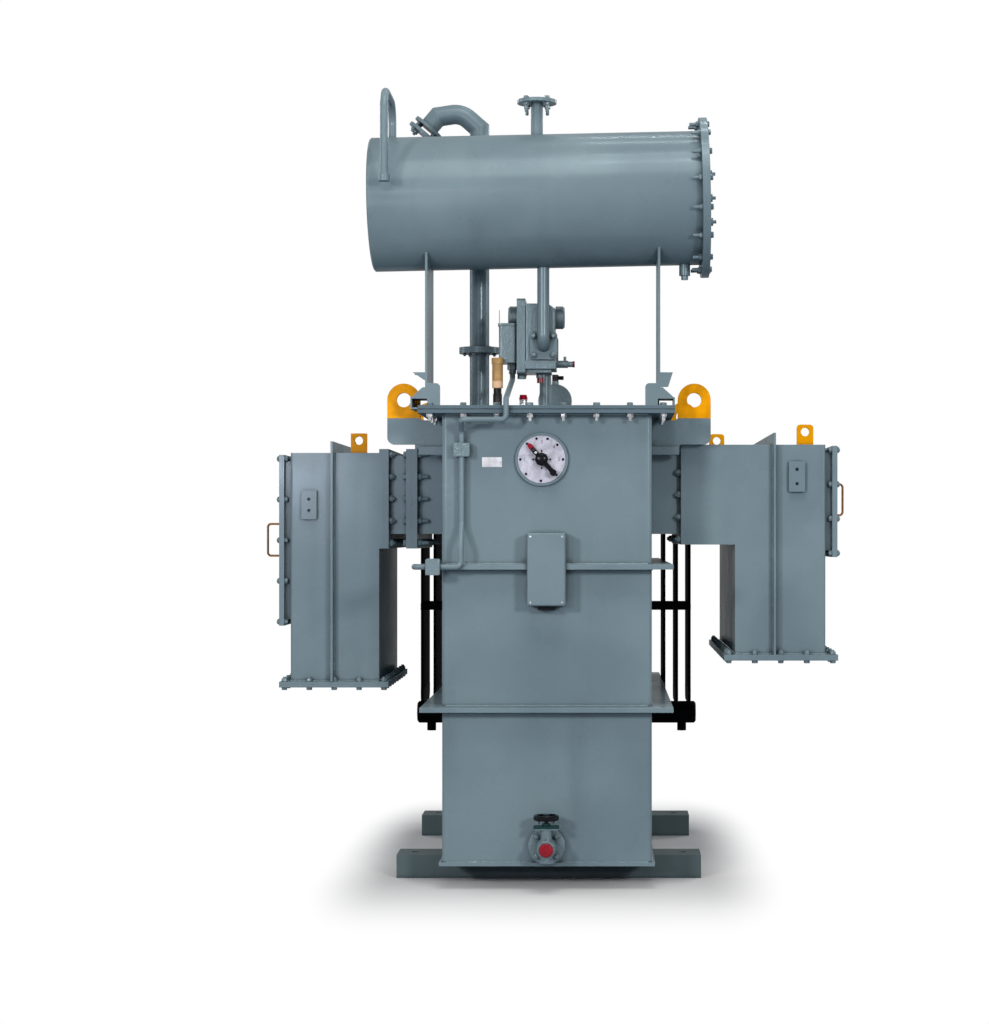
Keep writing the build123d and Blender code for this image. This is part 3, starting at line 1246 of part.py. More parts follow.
def conduit_run():
    """The conduit from the relay over the cover's edge and down the tank's front."""
    box_x = (RELAY_X[0] - RELAY_SIDE_THICK - RELAY_BOX_WIDTH, RELAY_X[0] - RELAY_SIDE_THICK)
    gland_end_z = RELAY_BOX_BOTTOM_Z - RELAY_GLAND_LENGTH - RELAY_GLAND_TAIL
    gland_end = Vector(middle_of(box_x) + RELAY_GLAND_OFF, middle_of(RELAY_Y), gland_end_z)
    face_y = FRONT_Y - CONDUIT_OFF
    edge_y = FRONT_Y - RIM_WIDTH - CONDUIT_RADIUS - CONDUIT_RIM_GAP
    low_y = FRONT_Y - BAND_PROJECTION - CONDUIT_RADIUS - CONDUIT_BAND_GAP
    clamp_z = (CLAMP_TOP_Z - CLAMP_HEIGHT, CLAMP_TOP_Z)
    conduit_x = CONDUIT_INSET - SIDE_X
    junction_left = -SIDE_X - JUNCTION_OVERHANG
    junction_x = (junction_left, junction_left + JUNCTION_WIDTH)
    tail_x = junction_x[0] - CONDUIT_TAIL
    upper = [
        gland_end,
        gland_end + DOWN * CONDUIT_DROP,
        (gland_end.X, edge_y, COVER_TOP_Z + CONDUIT_OVER_COVER),
        (gland_end.X, edge_y, CONDUIT_TOP_Z),
        (conduit_x, edge_y, CONDUIT_TOP_Z),
        (conduit_x, face_y, CONDUIT_TOP_Z - CONDUIT_BEND),
        (conduit_x, face_y, clamp_z[1]),
    ]
    lower = [
        (conduit_x, face_y, clamp_z[0]),
        (conduit_x, face_y, CONDUIT_SLANT_Z),
        (conduit_x, low_y, CONDUIT_SLANT_Z - CONDUIT_SLANT_HEIGHT),
        (conduit_x, low_y, CONDUIT_LOW_Z),
        (junction_x[1], low_y, CONDUIT_LOW_Z),
    ]
    tail = [
        (junction_x[0], low_y, CONDUIT_LOW_Z),
        (tail_x, low_y, CONDUIT_LOW_Z),
        (tail_x, low_y + CONDUIT_BEND, CONDUIT_LOW_Z),
    ]
    runs = [bent(points, CONDUIT_BEND / 2, Circle(CONDUIT_RADIUS)) for points in (upper, lower, tail)]
    save("conduit_pipes", *runs)
    clamp_y = (face_y - CONDUIT_RADIUS - CLAMP_GAP, FRONT_Y)
    tee = block(about(conduit_x, CLAMP_WIDTH), clamp_y, clamp_z)
    tee = fillet(tee.edges().filter_by(Axis.Y), CLAMP_EDGE_ROUND)
    junction_y = (low_y - JUNCTION_DEPTH / 2, FRONT_Y - BAND_PROJECTION)
    junction = block(junction_x, junction_y, about(CONDUIT_LOW_Z, JUNCTION_HEIGHT))
    junction = fillet(junction.edges().filter_by(Axis.Y), CLAMP_EDGE_ROUND)
    save("conduit_boxes", tee, junction)


def cover_fittings():
    """The thermometer pocket and the bulb fitting on the cover."""
    pocket_foot = Vector(POCKET_X, FRONT_Y + POCKET_DEPTH, COVER_TOP_Z)
    pocket = hexagon(pocket_foot, UP, POCKET_NUT_HEIGHT, POCKET_FLATS)
    pocket += turned(
        pocket_foot,
        UP,
        (POCKET_HEIGHT, POCKET_RADIUS, POCKET_RADIUS),
        (POCKET_CAP_HEIGHT, POCKET_CAP_RADIUS, POCKET_CAP_TOP_RADIUS),
    )
    save("thermometer_pocket", pocket)
    bulb = turned(
        Vector(BULB_X, FRONT_Y + BULB_DEPTH, COVER_TOP_Z),
        UP,
        (BULB_BASE_HEIGHT, BULB_BASE_RADIUS, BULB_BASE_RADIUS),
        (BULB_COLLAR_HEIGHT, BULB_COLLAR_RADIUS, BULB_COLLAR_RADIUS),
        (BULB_HEIGHT, BULB_RADIUS, BULB_RADIUS),
        (BULB_CAP_HEIGHT, BULB_CAP_RADIUS, BULB_CAP_RADIUS),
    )
    save("bulb_fitting", bulb)


def filter_valve():
    """The small lever valve that stands on the cover, its outlet facing forward."""
    foot = Vector(FILTER_X, FRONT_Y + FILTER_DEPTH, COVER_TOP_Z)
    centre = Vector(foot.X, foot.Y, FILTER_AXIS_Z)
    back = centre + BACKWARD * FILTER_PIPE_RADIUS
    body = rod(foot, UP, FILTER_AXIS_Z - COVER_TOP_Z, FILTER_PIPE_RADIUS)
    body += turned(
        back,
        FORWARD,
        (FILTER_BODY_LENGTH, FILTER_BODY_RADIUS, FILTER_BODY_RADIUS),
        (PIPE_FLANGE_THICK, FILTER_FLANGE_RADIUS, FILTER_FLANGE_RADIUS),
    )
    body += rod(centre, UP, FILTER_TOWER_TOP_Z - FILTER_AXIS_Z, FILTER_TOWER_RADIUS)
    bore_foot = Vector(foot.X, foot.Y, FILTER_TOWER_TOP_Z - LEVER_STEM_DEPTH)
    body -= rod(bore_foot, UP, LEVER_STEM_DEPTH + OVER, LEVER_STEM_RADIUS + RUNNING_GAP)
    save("filter_valve_body", body)
    stem_length = LEVER_STEM_DEPTH - END_GAP
    hub_z = (FILTER_TOWER_TOP_Z + END_GAP, FILTER_TOWER_TOP_Z + END_GAP + LEVER_HUB_HEIGHT)
    lever = rod(bore_foot + UP * END_GAP, UP, stem_length + LEVER_HUB_HEIGHT, LEVER_STEM_RADIUS)
    lever += rod(Vector(foot.X, foot.Y, hub_z[0]), UP, LEVER_HUB_HEIGHT, LEVER_HUB_RADIUS)
    grip_z = about(middle_of(hub_z), LEVER_THICK)
    lever += block((foot.X, foot.X + LEVER_REACH), about(foot.Y, LEVER_WIDTH), grip_z)
    save("filter_valve_lever", lever)


def tap_switch():
    """The off-circuit tap switch: a rim, a dial and a turning handle."""
    centre = Vector(DIAL_X, FRONT_Y, DIAL_Z)
    dial_foot = centre + FORWARD * DIAL_RIM_THICK
    hub_foot = dial_foot + FORWARD * (DIAL_THICK + HANDLE_STANDOFF)
    bore_length = DIAL_RIM_THICK + DIAL_THICK + OVER * 2
    bore = rod(centre + BACKWARD * OVER, FORWARD, bore_length, SPINDLE_RADIUS + RUNNING_GAP)
    save("tap_switch_rim", rod(centre, FORWARD, DIAL_RIM_THICK, DIAL_RIM_RADIUS) - bore)
    save("tap_switch_dial", rod(dial_foot, FORWARD, DIAL_THICK, DIAL_RADIUS) - bore)

    spindle_foot = centre + FORWARD * END_GAP
    handle = rod(spindle_foot, FORWARD, (hub_foot - spindle_foot).length + HUB_THICK, SPINDLE_RADIUS)
    handle += rod(hub_foot, FORWARD, HUB_THICK, HUB_RADIUS)
    outline = SlotOverall(HANDLE_LENGTH, HANDLE_WIDTH)
    outline -= Pos(HANDLE_HOLE_OFF, 0) * Circle(HANDLE_HOLE_RADIUS)
    bar_plane = Plane(origin=hub_foot, x_dir=RIGHT, z_dir=FORWARD)
    handle += extrude(bar_plane * Rot(0, 0, HANDLE_ANGLE) * outline, HANDLE_THICK)
    turn = math.radians(HANDLE_ANGLE)
    along = Vector(math.cos(turn), 0, math.sin(turn)) * -1
    knob_foot = hub_foot + along * (HANDLE_LENGTH / 2 - HANDLE_WIDTH / 2)
    handle += turned(
        knob_foot,
        FORWARD,
        (HANDLE_THICK + HANDLE_KNOB_LENGTH, HANDLE_KNOB_RADIUS, HANDLE_KNOB_RADIUS),
        (HANDLE_KNOB_CHAMFER, HANDLE_KNOB_RADIUS, HANDLE_KNOB_RADIUS - HANDLE_KNOB_CHAMFER),
    )
    save("tap_switch_handle", handle)


def drain_valve():
    """The gate valve at the tank's foot, with its neck and plug."""
    wall = Vector(0, FRONT_Y, DRAIN_Z)
    flange = (DRAIN_FLANGE_THICK, DRAIN_FLANGE_RADIUS, DRAIN_FLANGE_RADIUS)
    neck = (DRAIN_NECK_LENGTH, DRAIN_NECK_RADIUS, DRAIN_NECK_RADIUS)
    save("drain_neck", turned(wall, FORWARD, neck, flange))

    start = DRAIN_NECK_LENGTH + DRAIN_FLANGE_THICK
    waist_length = DRAIN_STEM_OFF - DRAIN_BODY_RADIUS / 2 - start - DRAIN_FLANGE_THICK
    outlet_start = DRAIN_OUTLET_OFF - DRAIN_OUTLET_LENGTH
    body = turned(
        wall + FORWARD * start,
        FORWARD,
        flange,
        (waist_length, DRAIN_WAIST_RADIUS, DRAIN_WAIST_RADIUS),
        (DRAIN_BODY_RADIUS / 2, DRAIN_WAIST_RADIUS, DRAIN_BODY_RADIUS),
        (outlet_start - DRAIN_STEM_OFF, DRAIN_BODY_RADIUS, DRAIN_WAIST_RADIUS),
        (DRAIN_OUTLET_LENGTH, DRAIN_OUTLET_RADIUS, DRAIN_OUTLET_RADIUS),
    )
    axis = wall + FORWARD * DRAIN_STEM_OFF
    body += rod(axis, UP, BONNET_TOP_Z - DRAIN_Z, BONNET_RADIUS)
    bar_z = (BONNET_TOP_Z, BONNET_TOP_Z + BONNET_BAR_HEIGHT)
    bar = block(about(0, BONNET_BAR_WIDTH), about(axis.Y, BONNET_BAR_DEPTH), bar_z)
    body += fillet(bar.edges().filter_by(Axis.Z), BONNET_BAR_ROUND)
    body += rod(Vector(0, axis.Y, bar_z[1]), UP, GLAND_HEIGHT, GLAND_RADIUS)
    bore_foot = Vector(0, axis.Y, bar_z[1] + GLAND_HEIGHT - STEM_DEPTH)
    body -= rod(bore_foot, UP, STEM_DEPTH + OVER, STEM_RADIUS + RUNNING_GAP)
    save("drain_valve_body", body)
    plug = turned(
        wall + FORWARD * DRAIN_OUTLET_OFF,
        FORWARD,
        (DRAIN_PLUG_REACH - DRAIN_PLUG_CHAMFER, DRAIN_PLUG_RADIUS, DRAIN_PLUG_RADIUS),
        (DRAIN_PLUG_CHAMFER, DRAIN_PLUG_RADIUS, DRAIN_PLUG_RADIUS - DRAIN_PLUG_CHAMFER),
    )
    save("drain_plug", plug)
    save("drain_handwheel", handwheel(bore_foot + UP * END_GAP))


def handwheel(stem_foot):
    """The drain valve's wheel: a bevelled rim, flat spokes, a hub and the stem."""
    centre = Vector(stem_foot.X, stem_foot.Y, WHEEL_Z)
    inner = WHEEL_RADIUS - WHEEL_RIM_WIDTH
    half = WHEEL_RIM_HEIGHT / 2
    rim_section = polygon(
        (inner, -half),
        (WHEEL_RADIUS - WHEEL_RIM_CHAMFER, -half),
        (WHEEL_RADIUS, WHEEL_RIM_CHAMFER - half),
        (WHEEL_RADIUS, half - WHEEL_RIM_CHAMFER),
        (WHEEL_RADIUS - WHEEL_RIM_CHAMFER, half),
        (inner, half),
    )
    wheel = Pos(*centre) * revolve(Plane.XZ * rim_section, Axis.Z)
    hub_z = about(WHEEL_Z, WHEEL_HUB_HEIGHT)
    wheel += rod(stem_foot, UP, hub_z[1] - stem_foot.Z, STEM_RADIUS)
    wheel += rod(Vector(centre.X, centre.Y, hub_z[0]), UP, WHEEL_HUB_HEIGHT, WHEEL_HUB_RADIUS)
    spoke_length = inner + WHEEL_RIM_WIDTH / 2
    spoke = Pos(spoke_length / 2, 0) * Rectangle(spoke_length, WHEEL_SPOKE_WIDTH)
    spoke_z = about(WHEEL_Z, WHEEL_SPOKE_THICK)
    for number in range(WHEEL_SPOKES):
        turn = Rot(0, 0, 360 / WHEEL_SPOKES * number)
        wheel += plate_xy(Pos(centre.X, centre.Y) * turn * spoke, spoke_z)
    return wheel


os.makedirs("parts", exist_ok=True)
save("base_rails", base_rail(-1), base_rail(1))
save("tank_floor", tank_floor())
save("tank_shell", tank_shell())
save("tank_rim_flange", tank_rim())
save("cover_gasket", cover_gasket())
save("tank_cover", tank_cover())
save("tank_stiffeners", tank_band(LOWER_BAND_Z), middle_band())
save("front_terminal_box", front_terminal_box())
lifting_lugs()
save("lv_turret", lv_turret())
save("lv_cable_box", lv_cable_box())
save("hv_turret", hv_turret())
save("hv_disconnecting_chamber", hv_disconnecting_chamber())
save("hv_cable_box", hv_cable_box())
save("cable_box_stiffeners", *cable_box_stiffeners())
save("gland_plates", *gland_plates())
save("inspection_covers", *inspection_covers())
save("cover_handles", *cover_handles())
save("cable_box_lugs", *cable_box_lugs())
radiators()
conservator()
oil_level_gauge()
conservator_supports()
breather()
filler()
vent()
relay_pipes()
gas_relay_body()
relay_terminal_box()
conduit_run()
cover_fittings()
filter_valve()
tap_switch()
drain_valve()
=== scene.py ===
import math

import bmesh
import bpy
from mathutils import Matrix, Vector


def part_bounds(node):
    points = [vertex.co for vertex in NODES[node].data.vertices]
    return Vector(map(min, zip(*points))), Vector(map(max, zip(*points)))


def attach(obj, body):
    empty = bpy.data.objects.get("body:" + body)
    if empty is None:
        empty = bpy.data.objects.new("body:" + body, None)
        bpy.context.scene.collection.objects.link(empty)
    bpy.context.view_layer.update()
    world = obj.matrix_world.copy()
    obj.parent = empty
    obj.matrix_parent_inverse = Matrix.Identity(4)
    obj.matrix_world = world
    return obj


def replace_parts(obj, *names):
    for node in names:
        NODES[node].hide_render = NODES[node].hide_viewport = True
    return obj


# An oil-filled power transformer. Metres, with X to the right as one faces the machine, Y away
# from the viewer and Z up from the floor.
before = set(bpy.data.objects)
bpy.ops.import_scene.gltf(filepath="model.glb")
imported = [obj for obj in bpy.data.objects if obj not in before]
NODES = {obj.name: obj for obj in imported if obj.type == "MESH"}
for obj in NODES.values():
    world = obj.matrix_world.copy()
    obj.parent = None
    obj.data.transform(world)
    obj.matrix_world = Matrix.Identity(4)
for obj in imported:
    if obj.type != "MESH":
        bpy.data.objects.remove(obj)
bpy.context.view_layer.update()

UP = Vector((0, 0, 1))
DOWN = Vector((0, 0, -1))
RIGHT = Vector((1, 0, 0))
LEFT = Vector((-1, 0, 0))
FRONT = Vector((0, -1, 0))
BACK = Vector((0, 1, 0))

# Camera, from the picture's vanishing point and its scale at the tank's front
PICTURE_WIDTH = 989
PICTURE_HEIGHT = 1024
VANISHING_X = 603
VANISHING_Y = 532
FOCAL_LENGTH_PX = 2250
CAMERA_PLACE = Vector((0.187, -8.338, 1.193))
SENSOR_MM = 36

# Hardware sizes, by thread diameter
COVER_BOLT = 0.0135
FLANGE_BOLT = 0.014
SMALL_BOLT = 0.012
LESSER_BOLT = SMALL_BOLT * 0.8
BONNET_STUD = 0.009
LID_SCREW = 0.0035
DIAL_SCREW = 0.0043
HANDLE_SCREW = 0.0045
PLATE_SCREW = 0.002

# Forms of bolts, nuts and screws: shares of the thread, then profiles of unit radius and height
HEAD_FLATS_SHARE = 1.5
HEAD_HEIGHT_SHARE = 0.65
NUT_HEIGHT_SHARE = 0.82
THREAD_END_SHARE = 0.82
THREAD_BEVEL_SHARE = 0.3
WASHER_SHARE = 0.95
WASHER_THICK_SHARE = 0.16
DOME_SHARE = 0.9
DOME_HEIGHT_SHARE = 0.8
DOME_STEPS = 5
SCREW_HEIGHT_SHARE = 0.6
WASHER_SHAPE = ((0, 0), (1, 0), (1, 1), (0, 1))
HEX_SHAPE = ((0, 0), (1, 0), (1, 0.84), (0.88, 1), (0, 1))
SCREW_SHAPE = ((0, 0), (1, 0), (1, 0.8), (0.9, 1), (0.5, 1), (0.5, 0.4), (0, 0.4))
HEX_SIDES = 6
THREAD_SIDES = 12
SCREW_SIDES = 14
ROUND_SIDES = 20
GOLDEN_TURN = 2.399
SMOOTH_BELOW = math.radians(38)

# Lengths of thread that stand out of nuts, as shares of the thread
TIP_SHARE = 0.45
FLUSH_TIP_SHARE = 0.2
STUD_TIP_SHARE = 0.4
SHORT_TIP_SHARE = 0.5
RELAY_TIP_SHARE = 0.6
RIM_TIP_SHARE = 0.9
LONG_TIP_SHARE = 1.8

# Bolt rows
RIM_PITCH = 0.1109
RIM_INSET = 0.038
RIM_SIDE_BOLTS = 16
SUPPORT_FOOT_FROM_X = 0.35
LV_FLANGE_PITCH = 0.0765
LV_FLANGE_INSET = 0.018
LV_FLANGE_FROM_X = 0.458
HV_FLANGE_PITCH = 0.079
HV_FLANGE_INSET = 0.02
HV_FLANGE_FROM_X = -0.474
COVER_PITCH = 0.14
COVER_INSET = 0.014
GLAND_PITCH = 0.09
GLAND_INSET = 0.017
END_BOLTS = 16
END_PHASE = math.radians(7.5)
END_BOLT_CIRCLE = 0.253
END_FLANGE_LEAST = 0.004

# Bolts of the pipes and the drain valve
PIPE_BOLT_CIRCLE_SHARE = 0.74
FILLER_BOLTS = 4
FILLER_FLANGE_FROM_Z = 2.66
VENT_BOLTS = 6
VENT_PHASE = 0.2
STUD_CIRCLE_SHARE = 0.758
SQUARE_BOLT_SHARE = 0.69
RELAY_FLANGE_Z = 1.842
RELAY_FLANGE_HALF = 0.05
RELAY_FLANGE_BEFORE_Y = -0.45
RELAY_FLANGE_FRONT_Y = -0.505
RELAY_FLANGE_BACK_Y = -0.311
DRAIN_BOLT_CIRCLE_SHARE = 0.76
DRAIN_FLANGE_THICK = 0.012
DRAIN_SPIN = 0.4
BONNET_STUD_OFF = 0.029
OUTLET_RING_INNER_GAP = 0.0005
OUTLET_RING_OUTER_GAP = 0.0035
OUTLET_RING_THICK = 0.003

# Weld beads
BEAD_PITCH = 0.004
BEAD_SIDES = 4
BEAD_SIZE = (0.0045, 0.004)
BAR_BEAD_SIZE = (0.003, 0.0027)
SADDLE_BEAD_SIZE = (0.003, 0.003)
RIPPLE = 0.16
RIPPLE_TURN = 0.7
SWELL_TURN = 0.13
LOWER_BAND_TOP_Z = 0.613
MIDDLE_BAND_UNDER_Z = 1.069
TANK_CORNER = 0.014
LV_LEG_RIM = (0.766, 0.04)
HV_LEG_RIM = (0.661, 0.036)
RIM_SEEK_BELOW = 0.011
RIM_SEEK_ABOVE = 0.001
BAR_BEAD_STOP = 0.04
TANK_SIDE_X = 0.35
LUG_PAIRS_Y = ((-0.548, -0.526), (0.6, 0.622))
LUG_BEAD_Z = (1.5, 1.58)
SADDLES_X = ((-0.419, -0.411), (0.374, 0.382))
SADDLE_HALF = 0.14
SADDLE_STEPS = 8
DRUM_Y = -0.538
DRUM_MIDDLE_Z = 2.339
DRUM_RADIUS = 0.23
DRUM_TILT = math.radians(1.21)

# Tap switch dial and its handle
DIAL_SCREW_CIRCLE_SHARE = 0.9
DIAL_SCREW_TURNS = (0, 43, 74, 104, 133, 180, 223, 268, 314)
INNER_SCREWS = 4
INNER_CIRCLE_SHARE = 0.36
DIAL_RING_SHARE = 0.44
DIAL_RING_WIDTH = 0.0004
INK_THICK = 0.0002
NUMBERS = 5
NUMBER_STEP = 45
NUMBER_CIRCLE_SHARE = 0.735
NUMBER_HEIGHT = 0.017
HANDLE_TURN = math.radians(131)
HANDLE_HALF = 0.0082
HANDLE_BAR_FROM = 0.05
HANDLE_SCREW_OFF = 0.028
TIP_START = 0.049
TIP_END = 0.069
TIP_SKIN = 0.0006
TIP_SHOULDER_SHARE = 0.9
TIP_POINT_SHARE = 0.3
HUB_REACH = 0.0225
HUB_PROFILE = ((0, 0), (0.0165, 0), (0.0165, 0.003), (0.013, 0.005), (0, 0.005))
HUB_SIDES = 24
HUB_LOBES = 8
HUB_LOBE_CIRCLE = 0.0195
HUB_LOBE_DEPTH = 0.012
HUB_LOBE_PROFILE = ((0, 0), (0.0034, 0), (0.0034, 0.014), (0.002, 0.0155), (0, 0.0155))
HUB_LOBE_SIDES = 10

# Bare plate on the tank's front, and the lid of the terminal box below it
PLATE_X = -0.183
PLATE_Z = 1.426
PLATE_WIDTH = 0.066
PLATE_HEIGHT = 0.033
PLATE_THICK = 0.0012
PLATE_SCREW_INSET = 0.004
LID_BEFORE_Y = -0.9315
LID_SCREW_INSET = 0.008

# Gas relay
WINDOW_FROM_Z = 1.9
WINDOW_Y = -0.408
WINDOW_Z = 1.948
GLASS_DEPTH = 0.0045
GLASS_PROFILE = ((0, 0), (0.0275, 0), (0.0275, 0.0015), (0, 0.003))
COCK_FROM_X = 0.06
COCK_Z = 1.784
CAP_COVER = 0.006
CAP_PROFILE = ((0, 0), (0.0112, 0), (0.0112, 0.0075), (0, 0.0075))

# Small lifting lugs on the cable boxes
LUG_HOLE_RADIUS = 0.015
LUG_HOLE_DROP = 0.026
LUG_CORNER_LEFT = 0.002
LUG_CORNER_RIGHT = 0.012
LUG_CORNER_STEPS = 6

# Paint colours as they show in daylight, 0 to 255
GREY_PAINT_RGB = (112, 128, 134)
GREY_SHADE_RGB = (102, 118, 125)
COVER_RGB = (88, 104, 112)
YELLOW_RGB = (226, 150, 0)
BLACK_RGB = (13, 13, 15)
RAIL_RGB = (88, 101, 103)
CAST_RGB = (104, 120, 124)
RED_RGB = (142, 0, 26)
DARK_RED_RGB = (112, 8, 26)
GREEN_RGB = (14, 56, 56)
PALE_TAN_RGB = (224, 184, 146)
DIAL_RGB = (190, 188, 200)
GASKET_RGB = (34, 32, 32)
BRONZE_RGB = (132, 96, 62)
BRASS_RGB = (186, 146, 92)
ZINC_RGB = (190, 194, 198)
PLASTIC_RGB = (6, 6, 14)
PALE_RGB = (226, 224, 228)
GLASS_RGB = (22, 26, 26)
# Painted shade: the dark colour put deep in crevices and corners
CREVICE_SHADE_RGB = (22, 30, 36)
GLAND_RGB = (20, 24, 28)
INK_RGB = (70, 70, 84)

# Plastic, rubber and enamel: colour, roughness, grain per metre, its strength and the specular level
PLAIN_FINISHES = {
    "red_paint": (RED_RGB, 0.18, 300, 0.05, 0.25),
    "dark_red": (DARK_RED_RGB, 0.2, 300, 0.05, 0.25),
    "black_plastic": (PLASTIC_RGB, 0.2, 600, 0.08, 0.12),
    "gasket": (GASKET_RGB, 0.8, 400, 0.3, 0.1),
    "dial_metal": (DIAL_RGB, 0.35, 500, 0.05, 0.3),
    "white_plate": (PALE_RGB, 0.35, 300, 0.05, 0.3),
    "ink": (INK_RGB, 0.5, 300, 0.02, 0.3),
    "dark_glass": (GLASS_RGB, 0.06, 20, 0.01, 0.5),
}
TAN_FINISH = (BRASS_RGB, 0.55, 260, 0.3, 0.3)

# Patterns of the finishes, per metre, and how deep they stand
CLOUDS_PER_METRE = 2.2
STREAK_STRETCH = (9, 9, 0.8)
BREAKUP_PER_METRE = 38
GLOSS_PER_METRE = 6
GRAIN_DEPTH = 0.0005
METAL_GRAIN = 120
METAL_STRENGTH = 0.08
PAINT_EDGE = 0.0016
CASTING_EDGE = 0.0024
METAL_EDGE = 0.0008
# How far painted shade reaches out of crevices, on paints and on their second colours
CREVICE_SHADE_REACH = 0.03
OTHER_CREVICE_SHADE_REACH = 0.02
OTHER_CLOUDS_PER_METRE = 14
TONE_LINE_PER_METRE = 70
TONE_LINE_RAG = 0.004
TONE_LINE_BLUR = 0.002

# Raised patterns: per metre, strength, depth and detail
PEEL = (260, 0.05, 0.001, 1)
WAVES = (3.2, 0.1, 0.01, 2)
LUMPS = (130, 0.7, 0.003, 4)

# Parts of a pattern or a mask that are stretched from 0 to 1
WIDE_SPAN = (0.3, 0.7)
CLOUD_SPAN = (0.35, 0.65)
STREAK_SPAN = (0.52, 0.8)
BREAKUP_SPAN = (0.42, 0.62)
EDGE_SPAN = (0.99, 0.86)
CREVICE_SPAN = (0.72, 0.3)

# Shares by which colours and roughness change over a finish
STREAK_SHARE = 0.35
STREAK_SHADE_SHARE = 0.88
# How strongly painted shade darkens crevices, on paints and on their second colours
CREVICE_SHADE_SHARE = 0.8
OTHER_CREVICE_SHADE_SHARE = 0.7
# How far edges turn paler, as wear and as painted highlight
WORN_AND_HIGHLIT_SHARE = 0.6
METAL_WORN_AND_HIGHLIT_SHARE = 0.5
PLAIN_WORN_AND_HIGHLIT_SHARE = 0.4
METAL_SHADE_SHARE = 0.78
PLAIN_SHADE_SHARE = 0.85
OTHER_SHADE_SHARE = 0.84
WIDE_GLOSS_SHARES = (0.75, 1.3)
NARROW_GLOSS_SHARES = (0.85, 1.2)
COAT_PER_LUSTRE_SHARE = 1.6
COAT_ROUGHNESS = 0.18

# Heights at which paint changes on one piece
YELLOW_FROM_Z = 1.588
BOX_FOOT_Z = 0.9485
BULB_COLLAR_Z = 1.72
BULB_BASE_Z = 1.695
POCKET_CAP_Z = 1.641
VALVE_YOKE_Z = 0.2175

# Floor and sky
WHITE = (1, 1, 1, 1)
# The floor's lit grey, which shows near the rails as painted shadow
FLOOR_COLOUR = (0.61, 0.6, 0.6, 1)
FLOOR_SHADE = (0.58, 0.57, 0.57, 1)
FLOOR_TO_OBJECT = (0.24, 0.3, 0.36, 1)
FLOOR_CLOUDS_PER_METRE = 0.6
FLOOR_HALF = 30
# Painted shadow: the floor keeps its lit grey near the rails and turns white within this reach,
# sooner at the sides
PAINTED_SHADOW_SIDE_SQUEEZE = 4
PAINTED_SHADOW_REACH = 1.15
FILL_COLOUR = (0.8, 0.9, 1, 1)
FILL_LEVEL = 0.24

# Square lamps: name, place, place they face, size, watts and tint
MIDDLE = (0, -0.5, 1.25)
PLAIN_LIGHT = (1, 1, 1)
LAMPS = (
    ("key_left", (-3.9, -8.0, 2.9), MIDDLE, 0.9, 262, PLAIN_LIGHT),
    ("key_right", (3.6, -8.2, 2.8), MIDDLE, 0.9, 250, PLAIN_LIGHT),
    ("overhead", (0.3, -3.6, 6.4), MIDDLE, 3.0, 145, (1, 0.99, 0.94)),
    ("sheen", (-2.1, -8.5, 1.75), (-0.9, -0.3, 1.43), 0.25, 62, (0.95, 0.88, 1)),
    ("side_left", (-7.5, 1.6, 3.2), MIDDLE, 2.5, 130, PLAIN_LIGHT),
    ("rear_left", (-5.2, 6.6, 4.8), MIDDLE, 2.5, 210, PLAIN_LIGHT),
    ("side_right", (7.5, 1.6, 3.2), MIDDLE, 2.5, 130, PLAIN_LIGHT),
    ("rear_right", (5.2, 6.6, 4.8), MIDDLE, 2.5, 210, PLAIN_LIGHT),
)

# Thin tubes that streak the drum: place, place they face, thickness, length and watts
DRUM_TOP = (0.35, -0.54, 2.4)
TUBES = (
    ((0.5, 1.36, 5.3), DRUM_TOP, 0.03, 0.9, 10),
    ((0.5, 0.08, 5.3), DRUM_TOP, 0.03, 0.9, 10),
    ((0.5, -1.45, 5.3), DRUM_TOP, 0.03, 0.9, 8),
    ((0.5, -2.4, 5.3), DRUM_TOP, 0.03, 0.9, 8),
    ((-1.1, -8.3, 4.15), (-0.45, -0.77, 2.4), 0.05, 0.7, 14),
)


def linear(rgb):
    """A display colour as the linear colour that a shader takes, by the sRGB curve."""
    shares = [level / 255 for level in rgb]
    parts = [(c / 12.92 if c <= 0.04045 else ((c + 0.055) / 1.055) ** 2.4) for c in shares]
    return (*parts, 1)


def shaded(rgb, share):
    """A darker colour."""
    return [level * share for level in rgb]


def paler_edge(rgb, lift=12):
    """A paler colour, for worn edges that also stand as painted highlights."""
    return [min(255, level * 1.3 + lift) for level in rgb]


def node(tree, kind, inputs=None, **settings):
    """Adds a shader node. An input is set to a value or linked to another node's socket."""
    made = tree.nodes.new("ShaderNode" + kind)
    for name, value in settings.items():
        setattr(made, name, value)
    for name, value in (inputs or {}).items():
        if isinstance(value, bpy.types.NodeSocket):
            tree.links.new(value, made.inputs[name])
        else:
            made.inputs[name].default_value = value
    return made


def noise(tree, place, scale, detail=3):
    """A cloudy pattern fixed to the piece."""
    inputs = {"Vector": place, "Scale": scale, "Detail": detail}
    return node(tree, "TexNoise", inputs).outputs["Fac"]


def ramp(tree, value, low, high, to_low=0, to_high=1):
    """Stretches a range of a value onto another range."""
    inputs = {"Value": value, "From Min": low, "From Max": high, "To Min": to_low, "To Max": to_high}
    return node(tree, "MapRange", inputs, interpolation_type="SMOOTHSTEP").outputs["Result"]


def patches(tree, place, scale, span=WIDE_SPAN):
    """Soft patches between 0 and 1."""
    return ramp(tree, noise(tree, place, scale), *span)


def uneven(tree, place, scale, roughness, shares, detail=3):
    """A roughness that changes in patches."""
    return ramp(tree, noise(tree, place, scale, detail), *WIDE_SPAN, *shaded(shares, roughness))


def mixed(tree, share, first, second):
    """A mix of two colours, whose sockets are numbers 6 and 7 of the node."""
    inputs = {"Factor": share, 6: first, 7: second}
    return node(tree, "Mix", inputs, data_type="RGBA").outputs[2]


